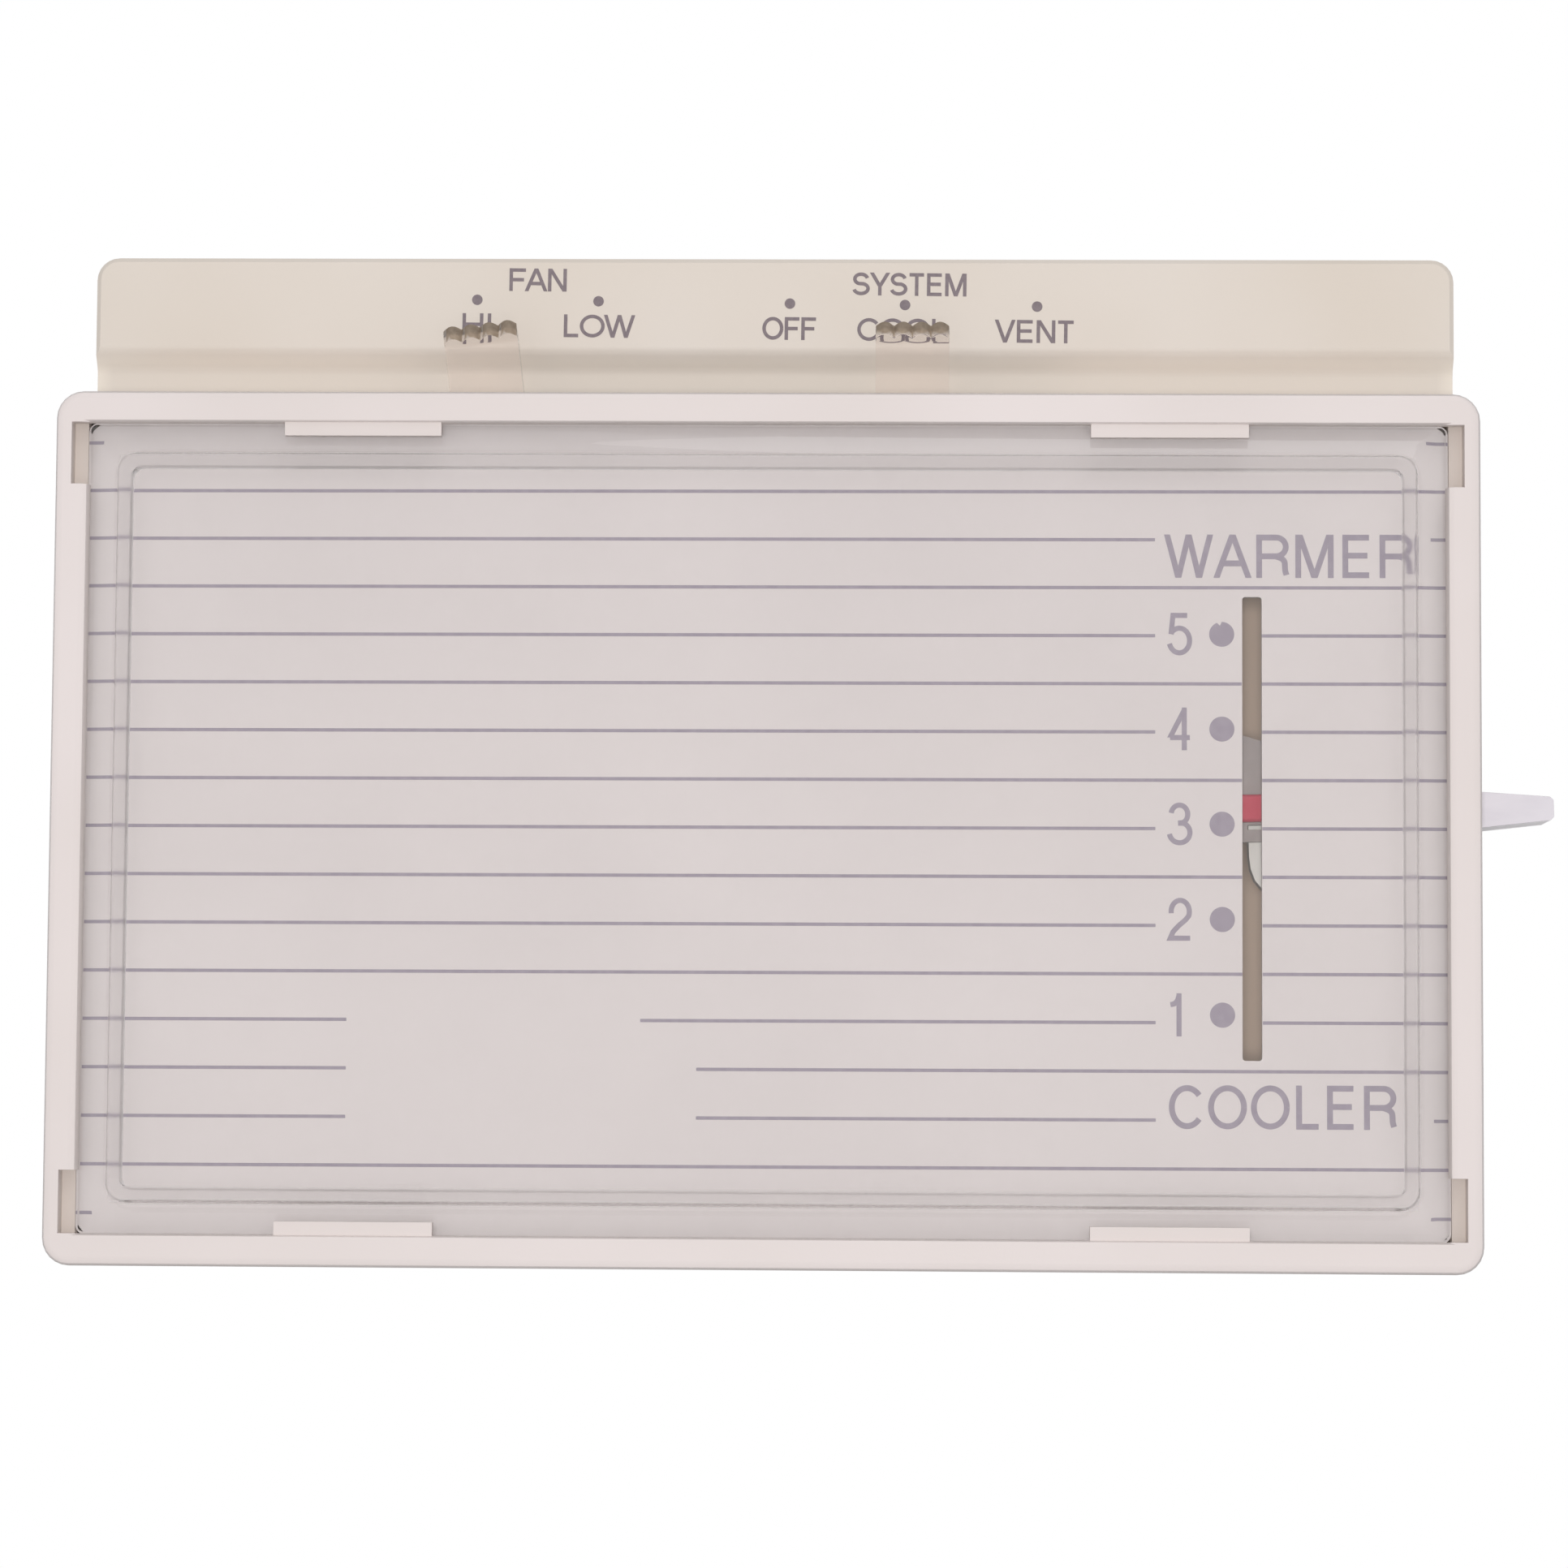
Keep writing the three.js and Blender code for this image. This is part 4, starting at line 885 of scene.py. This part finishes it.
def wordOutlines(text, left, base, width, height, stroke, grow=1):
    # the letters keep their usual shares of the word's width; sizes in mm
    start = letterSpan(text[0], grow)[0]
    ends = letterSpan(text[-1], grow)[1]
    total = sum(letterSpans[c][2] for c in text[:-1]) + ends - start
    scale = width / total
    outlines = []
    pen = left - start * scale
    for letter in text:
        low, high, advance = letterSpan(letter, grow)
        x0 = pen + low * scale + stroke / 2
        spanX = (high - low) * scale - stroke
        spanZ = height - stroke
        for points in letterShapes[letter]:
            straight = len(points) == 2 and points[0][1] != points[1][1]
            rise = height / spanZ if straight and points[0][1] in (0, 1) else 1
            drop = stroke / 2 if rise > 1 else 0
            placed = [
                (x0 + u * spanX, base + stroke / 2 - drop + v * spanZ * rise) for u, v in points
            ]
            outlines += ribbon(placed, stroke)
        pen += advance * scale
    return outlines


def tilted(outlines, degrees, middle):
    turn = Matrix.Rotation(math.radians(degrees), 2)
    centre = Vector(middle)
    return [[tuple(turn @ (Vector(p) - centre) + centre) for p in line] for line in outlines]


# mm: how thick the ink stands, how far it bites, and the distance at which points are one
inkFilm = {"film": 0.02, "sink": 0.004, "join": 1e-6}


def printPiece(name, outlines, faceY, body, material):
    # overlapping outlines become one flat sheet of ink, then a thin solid in front of faceY (mm)
    points = [Vector(p) for line in outlines for p in line]
    faces = []
    count = 0
    for line in outlines:
        faces.append(list(range(count, count + len(line))))
        count += len(line)
    flat, _, triangles, _, _, owners = delaunay_2d_cdt(points, [], faces, 0, inkFilm["join"])
    mesh = bpy.data.meshes.new(name)
    shape = bmesh.new()
    back = (faceY + inkFilm["sink"]) * mm
    corners = [shape.verts.new((p.x * mm, back, p.y * mm)) for p in flat]
    kept = [t for t, owner in zip(triangles, owners) if owner]
    for triangle in kept:
        shape.faces.new([corners[i] for i in triangle])
    loose = [v for v in shape.verts if not v.link_faces]
    bmesh.ops.delete(shape, geom=loose, context="VERTS")
    raised = bmesh.ops.extrude_face_region(shape, geom=shape.faces[:])["geom"]
    front = [g for g in raised if isinstance(g, bmesh.types.BMVert)]
    lift = Vector((0, -(inkFilm["sink"] + inkFilm["film"]) * mm, 0))
    bmesh.ops.translate(shape, verts=front, vec=lift)
    bmesh.ops.recalc_face_normals(shape, faces=shape.faces[:])
    shape.to_mesh(mesh)
    shape.free()
    mesh.materials.append(material)
    piece = bpy.data.objects.new(name, mesh)
    bpy.context.scene.collection.objects.link(piece)
    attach(piece, body)


# The dial: ruled lines behind the window, numbers, dots and the two words.
dial = {
    "pitch": 4.09,  # mm between lines
    "rows": 8,  # lines above and below the middle one
    "middle": 0.285,
    "tilt": 0.093,  # degrees
    "pivot": (37, 0.285),
    "lineWidth": 0.28,
    "edge": -0.12,  # the lines run on into the clearance that the pressed-in plate fills
    "textLeft": 33.05,  # where the lines stop before the text
    "textRight": 56.15,
    "slot": (40.35, 42.05),
    "numbers": (1, 2, 3, 4, 5),
    "numberMiddle": 3,
    "numberPitch": 8.05,
    "numberLeft": 34.08,
    "numberBase": -1.13,  # foot of the 3
    "numberHeight": 3.62,
    "numberWidth": 2.1,
    "numberStroke": 0.43,
    "oneWidth": 1.15,
    "dotX": 38.67,
    "dotZ": 0.67,
    "dotRadius": 1.06,
    "nick": {"dot": 5, "from": 96, "to": 106, "deep": 0.3},  # degrees, share of the radius
    "wordHeight": 3.69,
    "wordStroke": 0.49,
    "warmer": (33.82, 21.58, 21.0),  # left, foot, width
    "cooler": (34.15, -25.0, 19.1),
    "shortLeft": 1.1,  # the outermost lines are only marks at the two ends
    "shortRight": 1.6,
    "bareLeft": -35.2,  # the place left bare at the lower left
    "bareRight": -5.6,
    "bareShort": -10.35,
    "numberRows": 4,  # the rows beside the numbers, above and below the middle
    "wordRow": 6,
    "bareRows": (-4, -5, -6),
}


def dialLines():
    low, high = (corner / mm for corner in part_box("faceplate"))
    left, right = low.x + dial["edge"], high.x - dial["edge"]
    slotLeft, slotRight = dial["slot"]
    outlines = []
    for row in range(-dial["rows"], dial["rows"] + 1):
        z = dial["middle"] + row * dial["pitch"]
        stops = [(left, right)]
        if abs(row) <= dial["numberRows"]:
            text = dial["textLeft"] if row % 2 == 0 else slotLeft
            stops = [(left, text), (slotRight, right)]
        if abs(row) == dial["rows"]:
            stops = [(left, left + dial["shortLeft"]), (right - dial["shortRight"], right)]
        if abs(row) == dial["wordRow"]:
            stops = [(left, dial["textLeft"]), (dial["textRight"], right)]
        if row in dial["bareRows"]:
            resume = dial["bareShort"] if row == dial["bareRows"][0] else dial["bareRight"]
            stops = [(left, dial["bareLeft"]), (resume, stops[0][1]), *stops[1:]]
        half = dial["lineWidth"] / 2
        outlines += [bar(a, z - half, b, z + half) for a, b in stops]
    return outlines


def dialNumbers():
    outlines = []
    for number in dial["numbers"]:
        base = dial["numberBase"] + (number - dial["numberMiddle"]) * dial["numberPitch"]
        width = dial["oneWidth"] if number == 1 else dial["numberWidth"]
        outlines += wordOutlines(str(number), dial["numberLeft"], base, width,
                                 dial["numberHeight"], dial["numberStroke"])
    return outlines


def nicked(outline, middle, nick):
    # ink chipped from the rim of a dot between two angles
    chipped = []
    for point in outline:
        reach = Vector(point) - Vector(middle)
        angle = math.degrees(math.atan2(reach.y, reach.x))
        deep = nick["deep"] if nick["from"] < angle < nick["to"] else 0
        chipped.append(tuple(Vector(middle) + reach * (1 - deep)))
    return chipped


def dialDots():
    outlines = []
    for number in dial["numbers"]:
        rise = (number - dial["numberMiddle"]) * dial["numberPitch"]
        middle = (dial["dotX"], dial["dotZ"] + rise)
        outlines.append(dot(*middle, dial["dotRadius"]))
        if number == dial["nick"]["dot"]:
            outlines[-1] = nicked(outlines[-1], middle, dial["nick"])
    return outlines


def dialWords():
    outlines = []
    for word in ("warmer", "cooler"):
        left, base, width = dial[word]
        outlines += wordOutlines(word.upper(), left, base, width, dial["wordHeight"], dial["wordStroke"])
    return outlines


def printDial():
    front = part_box("faceplate")[0].y / mm
    for name, outlines in (
        ("dial_lines", dialLines()),
        ("dial_numbers", dialNumbers()),
        ("dial_dots", dialDots()),
        ("dial_words", dialWords()),
    ):
        turned = tilted(outlines, dial["tilt"], dial["pivot"])
        printPiece(name, turned, front, "cover", dialPrint)


printDial()
print("dial printed")

# The label strip: headings, positions and their dots, printed a little out of level.
strip = {
    "face": -17.5,  # mm, front of the strip
    "tilt": -0.6,  # degrees
    "pivot": (0, 48),
    "headBase": 48.7,
    "rowBase": 44.62,
    "dotZ": 47.87,
    "dotRadius": 0.47,
    "height": 2.04,
    "stroke": 0.31,
    "grow": 1.1,  # wide letters, set close
    "heads": (("FAN", -23.42, 5.1), ("SYSTEM", 7.03, 10.12)),
    "positions": (
        ("HI", -27.52, 2.55),
        ("LOW", -18.5, 6.32),
        ("OFF", -0.88, 4.9),
        ("COOL", 7.53, 8.06),
        ("VENT", 19.7, 7.13),
    ),
    "dots": (-26.24, -15.46, 1.53, 11.73, 23.42),
}


def stripWords(entries, base):
    outlines = []
    for text, left, width in entries:
        outlines += wordOutlines(text, left, base, width, strip["height"],
                                 strip["stroke"], strip["grow"])
    return outlines


def printStrip():
    face = strip["face"]
    dots = [dot(x, strip["dotZ"], strip["dotRadius"]) for x in strip["dots"]]
    for name, outlines in (
        ("strip_headings", stripWords(strip["heads"], strip["headBase"])),
        ("strip_positions", stripWords(strip["positions"], strip["rowBase"])),
        ("strip_dots", dots),
    ):
        turned = tilted(outlines, strip["tilt"], strip["pivot"])
        printPiece(name, turned, face, "base", stripPrint)


printStrip()
print("label strip printed")
